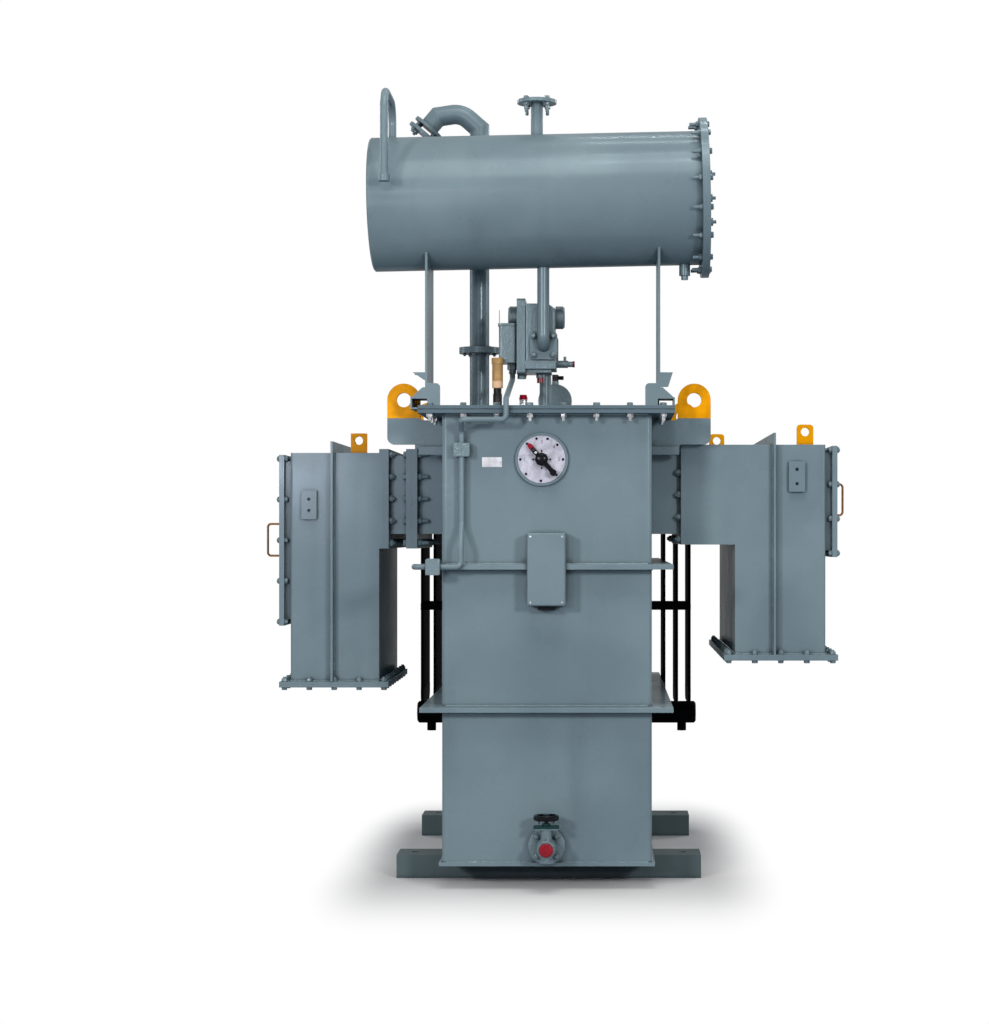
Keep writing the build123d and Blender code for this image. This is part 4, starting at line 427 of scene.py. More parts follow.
def maths(tree, operation, first, second):
    """The result of one sum."""
    return node(tree, "Math", {0: first, 1: second}, operation=operation).outputs[0]


def times(tree, first, second):
    """The product of two values."""
    return maths(tree, "MULTIPLY", first, second)


def bump(tree, place, normal, scale, strength, depth, detail=3):
    """The normal of a surface that a cloudy pattern raises."""
    height = noise(tree, place, scale, detail)
    inputs = {"Strength": strength, "Distance": depth, "Height": height, "Normal": normal}
    return node(tree, "Bump", inputs).outputs["Normal"]


def new_material(name):
    """An empty node material with its tree, and the place on the piece."""
    material = bpy.data.materials.new(name)
    material.use_nodes = True
    tree = material.node_tree
    tree.nodes.clear()
    return material, tree, object_place(tree)


def object_place(tree):
    """The place on the piece, for patterns."""
    return node(tree, "TexCoord").outputs["Object"]


def close(tree, shader):
    """Links a shader to the material's output."""
    node(tree, "OutputMaterial", {"Surface": shader})


def principled(tree, colour, gloss, normal, others):
    """Closes a material with the main shader."""
    inputs = {"Base Color": colour, "Roughness": gloss, "Normal": normal, **others}
    close(tree, node(tree, "BsdfPrincipled", inputs).outputs["BSDF"])


def main_shader(tree):
    """The main shader of a material."""
    return next(one for one in tree.nodes if one.type == "BSDF_PRINCIPLED")


def edges_worn_and_highlit(tree, radius):
    """Softened edges: their normal, and a mask that is 1 along them, for wear and painted highlights.
    """
    soft = node(tree, "Bevel", {"Radius": radius}, samples=4).outputs["Normal"]
    flat = node(tree, "NewGeometry").outputs["Normal"]
    dot = node(tree, "VectorMath", {0: soft, 1: flat}, operation="DOT_PRODUCT")
    return soft, ramp(tree, dot.outputs["Value"], *EDGE_SPAN)


def crevices(tree, reach):
    """A mask that is 1 deep in corners and 0 on open faces, for painted shade."""
    occlusion = node(tree, "AmbientOcclusion", {"Distance": reach}, samples=4)
    return ramp(tree, occlusion.outputs["AO"], *CREVICE_SPAN)


def paint(name, rgb, shade, roughness=0.26, lustre=0.08, edge=PAINT_EDGE):
    """A brushed or sprayed paint over steel, with clouds, runs and waves, painted shade in crevices,
    and paler worn edges that also stand as painted highlights.

    Its gloss is a share of metallic lustre, so that it stays low on faces seen nearly edge on.
    """
    material, tree, place = new_material(name)
    clouds = patches(tree, place, CLOUDS_PER_METRE, CLOUD_SPAN)
    stretched = node(tree, "Mapping", {"Vector": place, "Scale": STREAK_STRETCH})
    streak_noise = noise(tree, stretched.outputs["Vector"], 1, 4)
    streaks = ramp(tree, streak_noise, *STREAK_SPAN, 0, STREAK_SHARE)
    colour = mixed(tree, clouds, linear(rgb), linear(shade))
    colour = mixed(tree, streaks, colour, linear(shaded(shade, STREAK_SHADE_SHARE)))
    # Painted shade: darker deep in crevices and corners, where shade falls
    crevice_shade = times(tree, crevices(tree, CREVICE_SHADE_REACH), CREVICE_SHADE_SHARE)
    colour = mixed(tree, crevice_shade, colour, linear(CREVICE_SHADE_RGB))
    soft, edges = edges_worn_and_highlit(tree, edge)
    breakup = patches(tree, place, BREAKUP_PER_METRE, BREAKUP_SPAN)
    # Paler, patchy edges: wear, and a painted highlight along them
    worn_and_highlit = times(tree, times(tree, edges, breakup), WORN_AND_HIGHLIT_SHARE)
    colour = mixed(tree, worn_and_highlit, colour, linear(paler_edge(rgb, 10)))
    gloss = uneven(tree, place, GLOSS_PER_METRE, roughness, WIDE_GLOSS_SHARES, 5)
    wavy = bump(tree, place, bump(tree, place, soft, *PEEL), *WAVES)
    others = {"Metallic": lustre, "Specular IOR Level": 0.0, "Coat Roughness": COAT_ROUGHNESS}
    others["Coat Weight"] = lustre * COAT_PER_LUSTRE_SHARE
    principled(tree, colour, gloss, wavy, others)
    return material


def metal(name, rgb, roughness):
    """Bare metal with a fine uneven polish."""
    material, tree, place = new_material(name)
    tone = patches(tree, place, METAL_GRAIN / 6)
    colour = mixed(tree, tone, linear(rgb), linear(shaded(rgb, METAL_SHADE_SHARE)))
    gloss = uneven(tree, place, METAL_GRAIN, roughness, WIDE_GLOSS_SHARES)
    soft, edges = edges_worn_and_highlit(tree, METAL_EDGE)
    # Paler edges: wear, and a painted highlight along them
    colour = mixed(tree, times(tree, edges, METAL_WORN_AND_HIGHLIT_SHARE), colour, linear(PALE_RGB))
    normal = bump(tree, place, soft, METAL_GRAIN * 4, METAL_STRENGTH, GRAIN_DEPTH)
    principled(tree, colour, gloss, normal, {"Metallic": 1.0})
    return material


def plain_finish(name, rgb, roughness, grain, strength, specular):
    """Plastic, rubber or enamel, with a slight tone change and a fine grain."""
    material, tree, place = new_material(name)
    tone = patches(tree, place, grain / 9)
    colour = mixed(tree, tone, linear(rgb), linear(shaded(rgb, PLAIN_SHADE_SHARE)))
    soft, edges = edges_worn_and_highlit(tree, METAL_EDGE)
    # Paler edges: wear, and a painted highlight along them
    colour = mixed(tree, times(tree, edges, PLAIN_WORN_AND_HIGHLIT_SHARE), colour, linear(paler_edge(rgb)))
    gloss = uneven(tree, place, grain / 3, roughness, NARROW_GLOSS_SHARES)
    normal = bump(tree, place, soft, grain, strength, GRAIN_DEPTH)
    principled(tree, colour, gloss, normal, {"Specular IOR Level": specular})
    return material


def rough_casting(name, rgb, shade):
    """Thick brushed paint over a sand casting or a weld, with bright specks."""
    material = paint(name, rgb, shade, roughness=0.2, lustre=0.2, edge=CASTING_EDGE)
    tree = material.node_tree
    smooth = main_shader(tree).inputs["Normal"]
    lumpy = bump(tree, object_place(tree), smooth.links[0].from_socket, *LUMPS)
    tree.links.new(lumpy, smooth)
    return material


def two_tone(name, base, rgb, height, above):
    """A copy of a paint with another colour above or below a height, with painted shade in that
    colour's crevices.
    """
    material = base.copy()
    material.name = name
    tree = material.node_tree
    base_input = main_shader(tree).inputs["Base Color"]
    place = object_place(tree)
    up = node(tree, "SeparateXYZ", {"Vector": place}).outputs["Z"]
    rag = times(tree, noise(tree, place, TONE_LINE_PER_METRE), TONE_LINE_RAG)
    shares = (0, 1) if above else (1, 0)
    mask = ramp(tree, maths(tree, "ADD", up, rag), height, height + TONE_LINE_BLUR, *shares)
    clouds = patches(tree, place, OTHER_CLOUDS_PER_METRE, CLOUD_SPAN)
    other = mixed(tree, clouds, linear(rgb), linear(shaded(rgb, OTHER_SHADE_SHARE)))
    # Painted shade in the crevices of the second colour
    crevice_shade = times(tree, crevices(tree, OTHER_CREVICE_SHADE_REACH), OTHER_CREVICE_SHADE_SHARE)
    other = mixed(tree, crevice_shade, other, linear(shaded(rgb, 0.3)))
    tree.links.new(mixed(tree, mask, base_input.links[0].from_socket, other), base_input)
    return material


def bulb_finish():
    """The bulb fitting: a tan body, a pale collar below it and a black base."""
    tan = plain_finish("brass_fitting", *TAN_FINISH)
    collared = two_tone("bulb_collar", tan, PALE_TAN_RGB, BULB_COLLAR_Z, False)
    return two_tone("bulb_fitting", collared, BLACK_RGB, BULB_BASE_Z, False)


TANK_PAINT = paint("tank_paint", GREY_PAINT_RGB, GREY_SHADE_RGB)
CASTING = rough_casting("cast_body", CAST_RGB, GREY_SHADE_RGB)
ZINC = metal("zinc", ZINC_RGB, roughness=0.3)
MATERIALS = {
    "tank_paint": TANK_PAINT,
    "weld": rough_casting("weld", GREY_PAINT_RGB, GREY_SHADE_RGB),
    "cover_paint": paint("cover_paint", COVER_RGB, shaded(COVER_RGB, 0.92)),
    "yellow_paint": paint("yellow_paint", YELLOW_RGB, shaded(YELLOW_RGB, 0.86), lustre=0.03),
    "black_paint": paint("black_paint", BLACK_RGB, shaded(BLACK_RGB, 0.7), 0.35, lustre=0.01),
    "rail_paint": paint("rail_paint", RAIL_RGB, shaded(RAIL_RGB, 0.85), 0.45, lustre=0.05),
    "cast_body": CASTING,
    "valve_body": two_tone("valve_body", CASTING, GREEN_RGB, VALVE_YOKE_Z, True),
    "pocket": two_tone("pocket", ZINC, DARK_RED_RGB, POCKET_CAP_Z, True),
    "bulb": bulb_finish(),
    "bronze_wire": metal("bronze_wire", BRONZE_RGB, roughness=0.45),
    "lug_paint": two_tone("lug_paint", TANK_PAINT, YELLOW_RGB, YELLOW_FROM_Z, True),
    "box_paint": two_tone("box_paint", TANK_PAINT, GLAND_RGB, BOX_FOOT_Z, False),
    "zinc": ZINC,
}
MATERIALS.update({name: plain_finish(name, *values) for name, values in PLAIN_FINISHES.items()})

# Carried-over pieces whose finish differs from the tank's grey
FINISHES = {
    "rail_paint": ["base_rails"],
    "lug_paint": ["lifting_lugs_left", "lifting_lugs_right"],
    "yellow_paint": ["cable_box_lugs"],
    "black_paint": ["radiator_fins_left", "radiator_fins_right", "radiator_headers", "radiator_ties"],
    "cover_paint": ["tank_cover", "tank_rim_flange"],
    "gasket": ["cover_gasket"],
    "bronze_wire": ["cover_handles"],
    "bulb": ["bulb_fitting"],
    "cast_body": ["gas_relay_body", "relay_terminal_box", "conduit_boxes", "filter_valve_body"],
    "black_plastic": ["filter_valve_lever", "drain_handwheel", "tap_switch_handle"],
    "valve_body": ["drain_valve_body"],
    "red_paint": ["drain_plug"],
    "dark_red": ["gas_relay_plug"],
    "pocket": ["thermometer_pocket"],
    "dial_metal": ["tap_switch_dial"],
    "box_paint": ["front_terminal_box"],
}
FINISH_OF = {name: finish for finish, names in FINISHES.items() for name in names}


def dress_nodes():
    """Gives each carried-over piece its finish."""
    for name, carried in NODES.items():
        material = MATERIALS[FINISH_OF.get(name, "tank_paint")]
        if not carried.data.materials:
            carried.data.materials.append(material)
        for number in range(len(carried.data.materials)):
            carried.data.materials[number] = material


def part_box(name, keep):
    """The lowest and highest corners of the points of a node that pass a test."""
    places = [corner.co for corner in NODES[name].data.vertices if keep(corner.co)]
    low = Vector([min(place[axis] for place in places) for axis in range(3)])
    high = Vector([max(place[axis] for place in places) for axis in range(3)])
    return low, high


def on_right(place):
    """Whether a point lies on the machine's right."""
    return place.x > 0


def on_left(place):
    """Whether a point lies on the machine's left."""
    return place.x < 0


def linked(name, data):
    """An object of the scene."""
    made = bpy.data.objects.new(name, data)
    bpy.context.scene.collection.objects.link(made)
    return made


def piece(name, mesh, material="tank_paint", body="tank"):
    """Makes a mesh into a piece of the object that moves with a body."""
    bmesh.ops.recalc_face_normals(mesh, faces=mesh.faces)
    data = bpy.data.meshes.new(name)
    mesh.to_mesh(data)
    mesh.free()
    data.polygons.foreach_set("use_smooth", [True] * len(data.polygons))
    data.set_sharp_from_angle(angle=SMOOTH_BELOW)
    data.materials.append(MATERIALS[material])
    made = linked(name, data)
    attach(made, body)
    return made


def standing(place, axis, spin=0):
    """The frame whose Z runs along an axis from a place."""
    turn = UP.rotation_difference(Vector(axis)).to_matrix().to_4x4()
    return Matrix.Translation(place) @ turn @ Matrix.Rotation(spin, 4, "Z")


def turns_round(count, phase=0):
    """Evenly spaced turns all the way round."""
    return [phase + math.tau * number / count for number in range(count)]


def at_turn(turn):
    """The direction at a turn in the plane of the machine's front."""
    return RIGHT * math.cos(turn) + UP * math.sin(turn)


def places_round(centre, across, beside, radius, count, phase=0):
    """Places evenly round a circle, which lies in the plane of two directions."""
    turns = turns_round(count, phase)
    return [centre + (across * math.cos(turn) + beside * math.sin(turn)) * radius for turn in turns]


def circle(radius, height, sides):
    """Places round a circle, or the one place in its middle where it has no radius."""
    turns = turns_round(sides) if radius else [0]
    return [Vector((radius * math.cos(turn), radius * math.sin(turn), height)) for turn in turns]


def wall(mesh, low, high, sides):
    """Adds the faces between two loops of corners, either of which may be a single point."""
    for number in range(sides):
        after = number + 1
        corners = [low[number % len(low)], low[after % len(low)]]
        corners += [high[after % len(high)], high[number % len(high)]]
        mesh.faces.new(list(dict.fromkeys(corners)))


def turned(mesh, stand, profile, sides=ROUND_SIDES, radius=1, height=1):
    """Adds a turned form. Its profile goes from foot to tip, in radii and heights."""
    loops = []
    for across, up in profile:
        places = circle(across * radius, up * height, sides)
        loops.append([mesh.verts.new(stand @ place) for place in places])
    for low, high in zip(loops, loops[1:]):
        wall(mesh, low, high, sides)


def washer(mesh, stand, thread):
    """Adds a plain washer and returns its thickness."""
    thick = thread * WASHER_THICK_SHARE
    turned(mesh, stand, WASHER_SHAPE, ROUND_SIDES, thread * WASHER_SHARE, thick)
    return thick


def six_sided(mesh, stand, thread, height):
    """Adds a hexagon with a turned top edge."""
    turned(mesh, stand, HEX_SHAPE, HEX_SIDES, thread * HEAD_FLATS_SHARE / math.sqrt(3), height)


def bolt_head(mesh, place, axis, thread, spin):
    """Adds a hexagon bolt head on a washer."""
    stand = standing(place, axis, spin)
    lift = washer(mesh, stand, thread)
    six_sided(mesh, stand @ Matrix.Translation(UP * lift), thread, thread * HEAD_HEIGHT_SHARE)


def nut(mesh, place, axis, thread, spin, tip_share=TIP_SHARE):
    """Adds a nut on a washer, with the thread's end standing out."""
    stand = standing(place, axis, spin)
    lift = washer(mesh, stand, thread)
    height = thread * NUT_HEIGHT_SHARE
    six_sided(mesh, stand @ Matrix.Translation(UP * lift), thread, height)
    end = lift + height + thread * tip_share
    radius = thread / 2
    shoulder = end - radius * THREAD_BEVEL_SHARE
    bevel = radius * THREAD_END_SHARE
    profile = [(0, 0), (radius, 0), (radius, shoulder), (bevel, end), (0, end)]
    turned(mesh, stand, profile, THREAD_SIDES)


def dome_head(mesh, place, axis, thread):
    """Adds a round bolt head on a washer."""
    stand = standing(place, axis)
    lift = washer(mesh, stand, thread)
    radius = thread * DOME_SHARE
    profile = [(0, lift)]
    for number in range(DOME_STEPS):
        turn = math.pi / 2 * number / DOME_STEPS
        profile.append((radius * math.cos(turn), lift + radius * DOME_HEIGHT_SHARE * math.sin(turn)))
    profile.append((0, lift + radius * DOME_HEIGHT_SHARE))
    turned(mesh, stand, profile)


def screw_head(mesh, place, axis, radius):
    """Adds a low cheese-head screw."""
    height = radius * SCREW_HEIGHT_SHARE
    turned(mesh, standing(place, axis), SCREW_SHAPE, SCREW_SIDES, radius, height)


def ring(mesh, stand, inner, outer, thick, sides=ROUND_SIDES * 2):
    """Adds a flat ring."""
    loops = []
    for radius, height in ((inner, 0), (outer, 0), (outer, thick), (inner, thick)):
        loops.append([mesh.verts.new(stand @ place) for place in circle(radius, height, sides)])
    for first, second in zip(loops, loops[1:] + loops[:1]):
        wall(mesh, first, second, sides)


def slab(mesh, low, high, edge):
    """Adds a block with broken edges between two corners."""
    low, high = Vector(low), Vector(high)
    matrix = Matrix.Translation((low + high) / 2) @ Matrix.Diagonal((*(high - low), 1))
    made = bmesh.ops.create_cube(mesh, size=1, matrix=matrix)
    edges = list({edge_of for corner in made["verts"] for edge_of in corner.link_edges})
    bmesh.ops.bevel(mesh, geom=edges, offset=edge, segments=2, affect="EDGES", profile=0.5)


def bead(mesh, start, end, outward, size=BEAD_SIZE):
    """Adds a rippled weld bead along a corner."""
    width, height = size
    start = Vector(start)
    outward = outward.normalized()
    along = Vector(end) - start
    count = max(2, round(along.length / BEAD_PITCH))
    side = along.normalized().cross(outward)
    turns = [math.pi * number / BEAD_SIDES for number in range(BEAD_SIDES + 1)]
    arch = [side * math.cos(turn) * width + outward * math.sin(turn) * height for turn in turns]
    loops = []
    for number in range(count + 1):
        slow = math.sin(number * RIPPLE_TURN) * math.sin(number * SWELL_TURN)
        swell = 1 + RIPPLE * (number % 2) + RIPPLE * slow
        middle = start + along * number / count
        loops.append([mesh.verts.new(middle + offset * swell) for offset in arch])
    for low, high in zip(loops, loops[1:]):
        for number in range(BEAD_SIDES):
            mesh.faces.new([low[number], low[number + 1], high[number + 1], high[number]])
        mesh.faces.new([low[0], high[0], high[-1], low[-1]])
    mesh.faces.new(loops[0])
    mesh.faces.new(loops[-1])


def beads_round(mesh, x, y, z, rise, stop=0):
    """Adds four weld beads round a rectangle, which stop short of its corners."""
    for place, facing in zip(y, (FRONT, BACK)):
        bead(mesh, (x[0] + stop, place, z), (x[1] - stop, place, z), facing + UP * rise)
    for place, facing in zip(x, (LEFT, RIGHT)):
        bead(mesh, (place, y[0] + stop, z), (place, y[1] - stop, z), facing + UP * rise)


def row(low, high, pitch):
    """Evenly spaced places from one end to the other, at about a pitch."""
    count = max(1, round((high - low) / pitch))
    return [low + (high - low) * number / count for number in range(count + 1)]


def frame_row(first, second, inset, pitch, side_pitch=None):
    """Places round a rectangle, at an inset from its edges."""
    first = (first[0] + inset, first[1] - inset)
    second = (second[0] + inset, second[1] - inset)
    places = [(a, b) for a in row(*first, pitch) for b in second]
    return places + [(a, b) for b in row(*second, side_pitch or pitch)[1:-1] for a in first]


def spin_at(number):
    """A different turn for each bolt, the same at every run."""
    return (number * GOLDEN_TURN) % math.tau


def rim_hardware():
    """Bolts all round the tank's cover, with their nuts under the rim."""
    low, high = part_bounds("tank_cover")
    rim_low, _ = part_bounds("tank_rim_flange")
    foot_low, foot_high = part_box("conservator_supports", on_left)
    heads = bmesh.new()
    nuts = bmesh.new()
    side_pitch = (high.y - low.y - RIM_INSET * 2) / (RIM_SIDE_BOLTS - 1)
    places = frame_row((low.x, high.x), (low.y, high.y), RIM_INSET, RIM_PITCH, side_pitch)
    for number, (x, y) in enumerate(places):
        level_with_foot = foot_low.y - COVER_BOLT < y < foot_high.y + COVER_BOLT
        if not (level_with_foot and abs(x) > SUPPORT_FOOT_FROM_X):
            bolt_head(heads, Vector((x, y, high.z)), UP, COVER_BOLT, spin_at(number))
        place = Vector((x, y, rim_low.z))
        nut(nuts, place, DOWN, COVER_BOLT, spin_at(number + 1), RIM_TIP_SHARE)
    piece("cover_bolts", heads)
    piece("cover_nuts", nuts, "zinc")


def flange_hardware():
    """Bolts through the flanges between the tank and both cable boxes."""
    studs = bmesh.new()
    low, high = part_box("lv_turret", lambda place: place.x > LV_FLANGE_FROM_X)
    places = frame_row((low.y, high.y), (low.z, high.z), LV_FLANGE_INSET, LV_FLANGE_PITCH)
    for number, (y, z) in enumerate(places):
        nut(studs, Vector((low.x, y, z)), LEFT, FLANGE_BOLT, spin_at(number))
    low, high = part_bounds("hv_disconnecting_chamber")
    _, turret_high = part_box("hv_turret", lambda place: place.x < HV_FLANGE_FROM_X)
    corners = NODES["hv_disconnecting_chamber"].data.vertices
    faces = sorted({round(one.co.x, 4) for one in corners})
    places = frame_row((low.y, high.y), (low.z, high.z), HV_FLANGE_INSET, HV_FLANGE_PITCH)
    for number, (y, z) in enumerate(places):
        stud = Vector((turret_high.x, y, z))
        nut(studs, stud, RIGHT, FLANGE_BOLT, spin_at(number), LONG_TIP_SHARE)
        bolt_head(studs, Vector((faces[-2], y, z)), LEFT, FLANGE_BOLT, spin_at(number + 2))
        nut(studs, Vector((faces[1], y, z)), RIGHT, FLANGE_BOLT, spin_at(number + 1))
    piece("flange_bolts", studs)


def inspection_hardware():
    """Round-headed bolts on both inspection covers, with nuts behind their edges."""
    bolts = bmesh.new()
    for outward, keep in ((RIGHT, on_right), (LEFT, on_left)):
        low, high = part_box("inspection_covers", keep)
        inner, outer = sorted((low.x, high.x), key=abs)
        places = frame_row((low.y, high.y), (low.z, high.z), COVER_INSET, COVER_PITCH)
        for number, (y, z) in enumerate(places):
            dome_head(bolts, Vector((outer, y, z)), outward, SMALL_BOLT)
            place = Vector((inner, y, z))
            nut(bolts, place, -outward, SMALL_BOLT, spin_at(number), FLUSH_TIP_SHARE)
    piece("inspection_bolts", bolts)


def gland_hardware():
    """Bolts round both gland plates, heads below and nuts above the boxes' rims."""
    bolts = bmesh.new()
    for keep in (on_right, on_left):
        low, high = part_box("gland_plates", keep)
        rim_top = 2 * high.z - low.z
        places = frame_row((low.x, high.x), (low.y, high.y), GLAND_INSET, GLAND_PITCH)
        for number, (x, y) in enumerate(places):
            bolt_head(bolts, Vector((x, y, low.z)), DOWN, SMALL_BOLT, spin_at(number))
            nut(bolts, Vector((x, y, rim_top)), UP, SMALL_BOLT, spin_at(number + 1))
    piece("gland_bolts", bolts)


def box_middle(name):
    """The middle of a node's box."""
    low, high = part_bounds(name)
    return (low + high) / 2


def heights_along(name, axis):
    """How far the points of a node lie along an axis."""
    return [corner.co.dot(axis) for corner in NODES[name].data.vertices]


def end_cover_hardware():
    """Bolts through the conservator's end flange, with long threads towards the drum."""
    bolts = bmesh.new()
    centre = box_middle("conservator_end_cover")
    axis = (centre - box_middle("conservator_left_end")).normalized()
    cover = heights_along("conservator_end_cover", axis)
    cover_half = (max(cover) - min(cover)) / 2
    shell = sorted({round(value, 4) for value in heights_along("conservator_shell", axis)})
    flange_back = max(value for value in shell if value < shell[-1] - END_FLANGE_LEAST)
    grip = cover_half + (shell[-1] - flange_back)
    upward = axis.cross(FRONT).normalized() * -1
    places = places_round(centre, FRONT, upward, END_BOLT_CIRCLE, END_BOLTS, END_PHASE)
    for number, place in enumerate(places):
        bolt_head(bolts, place + axis * cover_half, axis, SMALL_BOLT, spin_at(number))
        inner = place - axis * grip
        nut(bolts, inner, -axis, SMALL_BOLT, spin_at(number + 3), LONG_TIP_SHARE)
    piece("end_cover_bolts", bolts)


def level_flange_bolts(mesh, places, grip, thread, tip_share):
    """Adds bolts at places on top of a level pipe flange, with their nuts below it."""
    for number, place in enumerate(places):
        bolt_head(mesh, place, UP, thread, spin_at(number))
        nut(mesh, place - UP * grip, DOWN, thread, spin_at(number + 1), tip_share)


def pipe_hardware():
    """Bolts in the flanges of the filling pipe, the vent pipe and the relay's upper pipe."""
    bolts = bmesh.new()
    low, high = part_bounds("filling_pipe_blank")
    blank_thick = high.z - low.z
    flange_low, _ = part_box("filling_pipe", lambda place: place.z > FILLER_FLANGE_FROM_Z)
    places = on_flange(low, high, 0, FILLER_BOLTS, math.pi / 4)
    level_flange_bolts(bolts, places, high.z - flange_low.z, SMALL_BOLT, LONG_TIP_SHARE)
    low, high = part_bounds("vent_lower_pipe")
    places = on_flange(low, high, blank_thick, VENT_BOLTS, VENT_PHASE)
    level_flange_bolts(bolts, places, blank_thick * 2, LESSER_BOLT, SHORT_TIP_SHARE)
    low, high = part_box("relay_pipes", in_relay_flange)
    front_y = max(low.y, RELAY_FLANGE_FRONT_Y)
    reach = (high.x - low.x) / 2 * SQUARE_BOLT_SHARE
    for number, (side, rise) in enumerate(((-1, 1), (1, 1), (-1, -1), (1, -1))):
        x = (low.x + high.x) / 2 + side * reach
        z = RELAY_FLANGE_Z + rise * reach
        for y, facing in ((front_y, FRONT), (RELAY_FLANGE_BACK_Y, BACK)):
            place = Vector((x, y, z))
            nut(bolts, place, facing, SMALL_BOLT, spin_at(number), RELAY_TIP_SHARE)
    piece("pipe_flange_bolts", bolts, "weld")


def on_flange(low, high, rise, count, phase):
    """Places for the bolts of a level pipe flange, above the top of its box."""
    centre = Vector(((low.x + high.x) / 2, (low.y + high.y) / 2, high.z + rise))
    radius = (high.x - low.x) / 2 * PIPE_BOLT_CIRCLE_SHARE
    return places_round(centre, RIGHT, BACK, radius, count, phase)


def in_relay_flange(place):
    """Whether a point of the relay's pipes lies in the square flange at its front."""
    return abs(place.z - RELAY_FLANGE_Z) < RELAY_FLANGE_HALF and place.y < RELAY_FLANGE_BEFORE_Y


def vent_mouth_hardware():
    """Nuts on the four studs of the vent's mouth cover."""
    nuts = bmesh.new()
    low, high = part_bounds("vent_mouth_cover")
    centre = (low + high) / 2
    mouth = NODES["vent_mouth_cover"].data
    axis = max(mouth.polygons, key=lambda one: one.area).normal.copy()
    if axis.z > 0:
        axis.negate()
    reach = max((corner.co - centre).dot(axis) for corner in mouth.vertices)
    radius = (high.y - low.y) / 2 * STUD_CIRCLE_SHARE
    places = places_round(centre, BACK, axis.cross(BACK), radius, 4, math.pi / 4)
    for number, place in enumerate(places):
        nut(nuts, place + axis * reach, axis, SMALL_BOLT, spin_at(number), SHORT_TIP_SHARE)
    piece("vent_mouth_nuts", nuts, "weld")


def dial_details():
    """Screws, a ring and small numbers on the tap switch's disc."""
    low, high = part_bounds("tap_switch_dial")
    centre = box_middle("tap_switch_dial")
    centre.y = low.y
    radius = (high.x - low.x) / 2
    screws = bmesh.new()
    for turn in DIAL_SCREW_TURNS:
        place = centre + at_turn(math.radians(turn)) * radius * DIAL_SCREW_CIRCLE_SHARE
        screw_head(screws, place, FRONT, DIAL_SCREW)
    for place in places_round(centre, RIGHT, UP, radius * INNER_CIRCLE_SHARE, INNER_SCREWS):
        screw_head(screws, place, FRONT, LID_SCREW)
    piece("dial_screws", screws, "black_plastic")
    marks = bmesh.new()
    outer = radius * DIAL_RING_SHARE
    ring(marks, standing(centre, FRONT), outer - DIAL_RING_WIDTH, outer, INK_THICK)
    for number in range(NUMBERS):
        direction = at_turn(math.pi - math.radians(number * NUMBER_STEP))
        place = centre + direction * radius * NUMBER_CIRCLE_SHARE + FRONT * INK_THICK
        numeral(marks, str(number + 1), place)
    piece("dial_marks", marks, "ink")


def numeral(mesh, text, place):
    """Adds a plain raised number that faces the front."""
    curve = bpy.data.curves.new("numeral", "FONT")
    curve.body = text
    curve.size = NUMBER_HEIGHT
    curve.extrude = INK_THICK / 2
    curve.align_x = "CENTER"
    curve.align_y = "CENTER"
    curve.resolution_u = 3
    writer = bpy.data.objects.new("numeral", curve)
    flat = bpy.data.meshes.new_from_object(writer)
    flat.transform(Matrix.Translation(place) @ Matrix.Rotation(math.pi / 2, 4, "X"))
    mesh.from_mesh(flat)
    bpy.data.objects.remove(writer)
    bpy.data.meshes.remove(flat)
    bpy.data.curves.remove(curve)


def handle_part(centre, keep):
    """The part of the tap switch's handle whose offset from the middle passes a test."""
    return part_box("tap_switch_handle", lambda place: keep(place - centre))


def pointer_tip(centre, pointing):
    """The red sleeve on the end of the handle's pointer."""
    low, high = handle_part(centre, lambda offset: offset.dot(pointing) > TIP_START)
    beside = FRONT.cross(pointing)
    shoulder = HANDLE_HALF * TIP_SHOULDER_SHARE
    point = HANDLE_HALF * TIP_POINT_SHARE
    outline = [(TIP_START, -HANDLE_HALF), (TIP_START, HANDLE_HALF)]
    outline += [(TIP_END - HANDLE_HALF, shoulder), (TIP_END, point)]
    outline += [(TIP_END, -point), (TIP_END - HANDLE_HALF, -shoulder)]
    tip = bmesh.new()
    faces = []
    for depth in (low.y - TIP_SKIN, high.y + TIP_SKIN):
        middle = Vector((centre.x, depth, centre.z))
        corners = [pointing * along + beside * across for along, across in outline]
        faces.append([tip.verts.new(middle + corner) for corner in corners])
    front, back = faces
    tip.faces.new(front)
    tip.faces.new(back[::-1])
    wall(tip, front, back, len(outline))
    piece("pointer_tip", tip, "red_paint", "tap_handle")


def hub_nut(centre):
    """The lobed nut that holds the handle on its spindle."""
    low, _ = handle_part(centre, lambda offset: offset.xz.length < HUB_REACH)
    middle = Vector((centre.x, low.y, centre.z))
    hub = bmesh.new()
    turned(hub, standing(middle, FRONT), HUB_PROFILE, HUB_SIDES)
    middle += BACK * HUB_LOBE_DEPTH
    for foot in places_round(middle, RIGHT, UP, HUB_LOBE_CIRCLE, HUB_LOBES):
        turned(hub, standing(foot, FRONT), HUB_LOBE_PROFILE, HUB_LOBE_SIDES)
    piece("handle_hub_nut", hub, "black_plastic", "tap_handle")


def handle_details():
    """The pointer's red tip, the hub nut and a bright screw on the tap switch's handle."""
    centre = box_middle("tap_switch_dial")
    centre.y = 0
    pointing = at_turn(HANDLE_TURN)
    pointer_tip(centre, pointing)
    hub_nut(centre)
    low, _ = handle_part(centre, lambda offset: offset.xz.length > HANDLE_BAR_FROM)
    screw = bmesh.new()
    place = Vector((centre.x, low.y, centre.z)) + pointing * HANDLE_SCREW_OFF
    screw_head(screw, place, FRONT, HANDLE_SCREW)
    piece("handle_screw", screw, "zinc", "tap_handle")


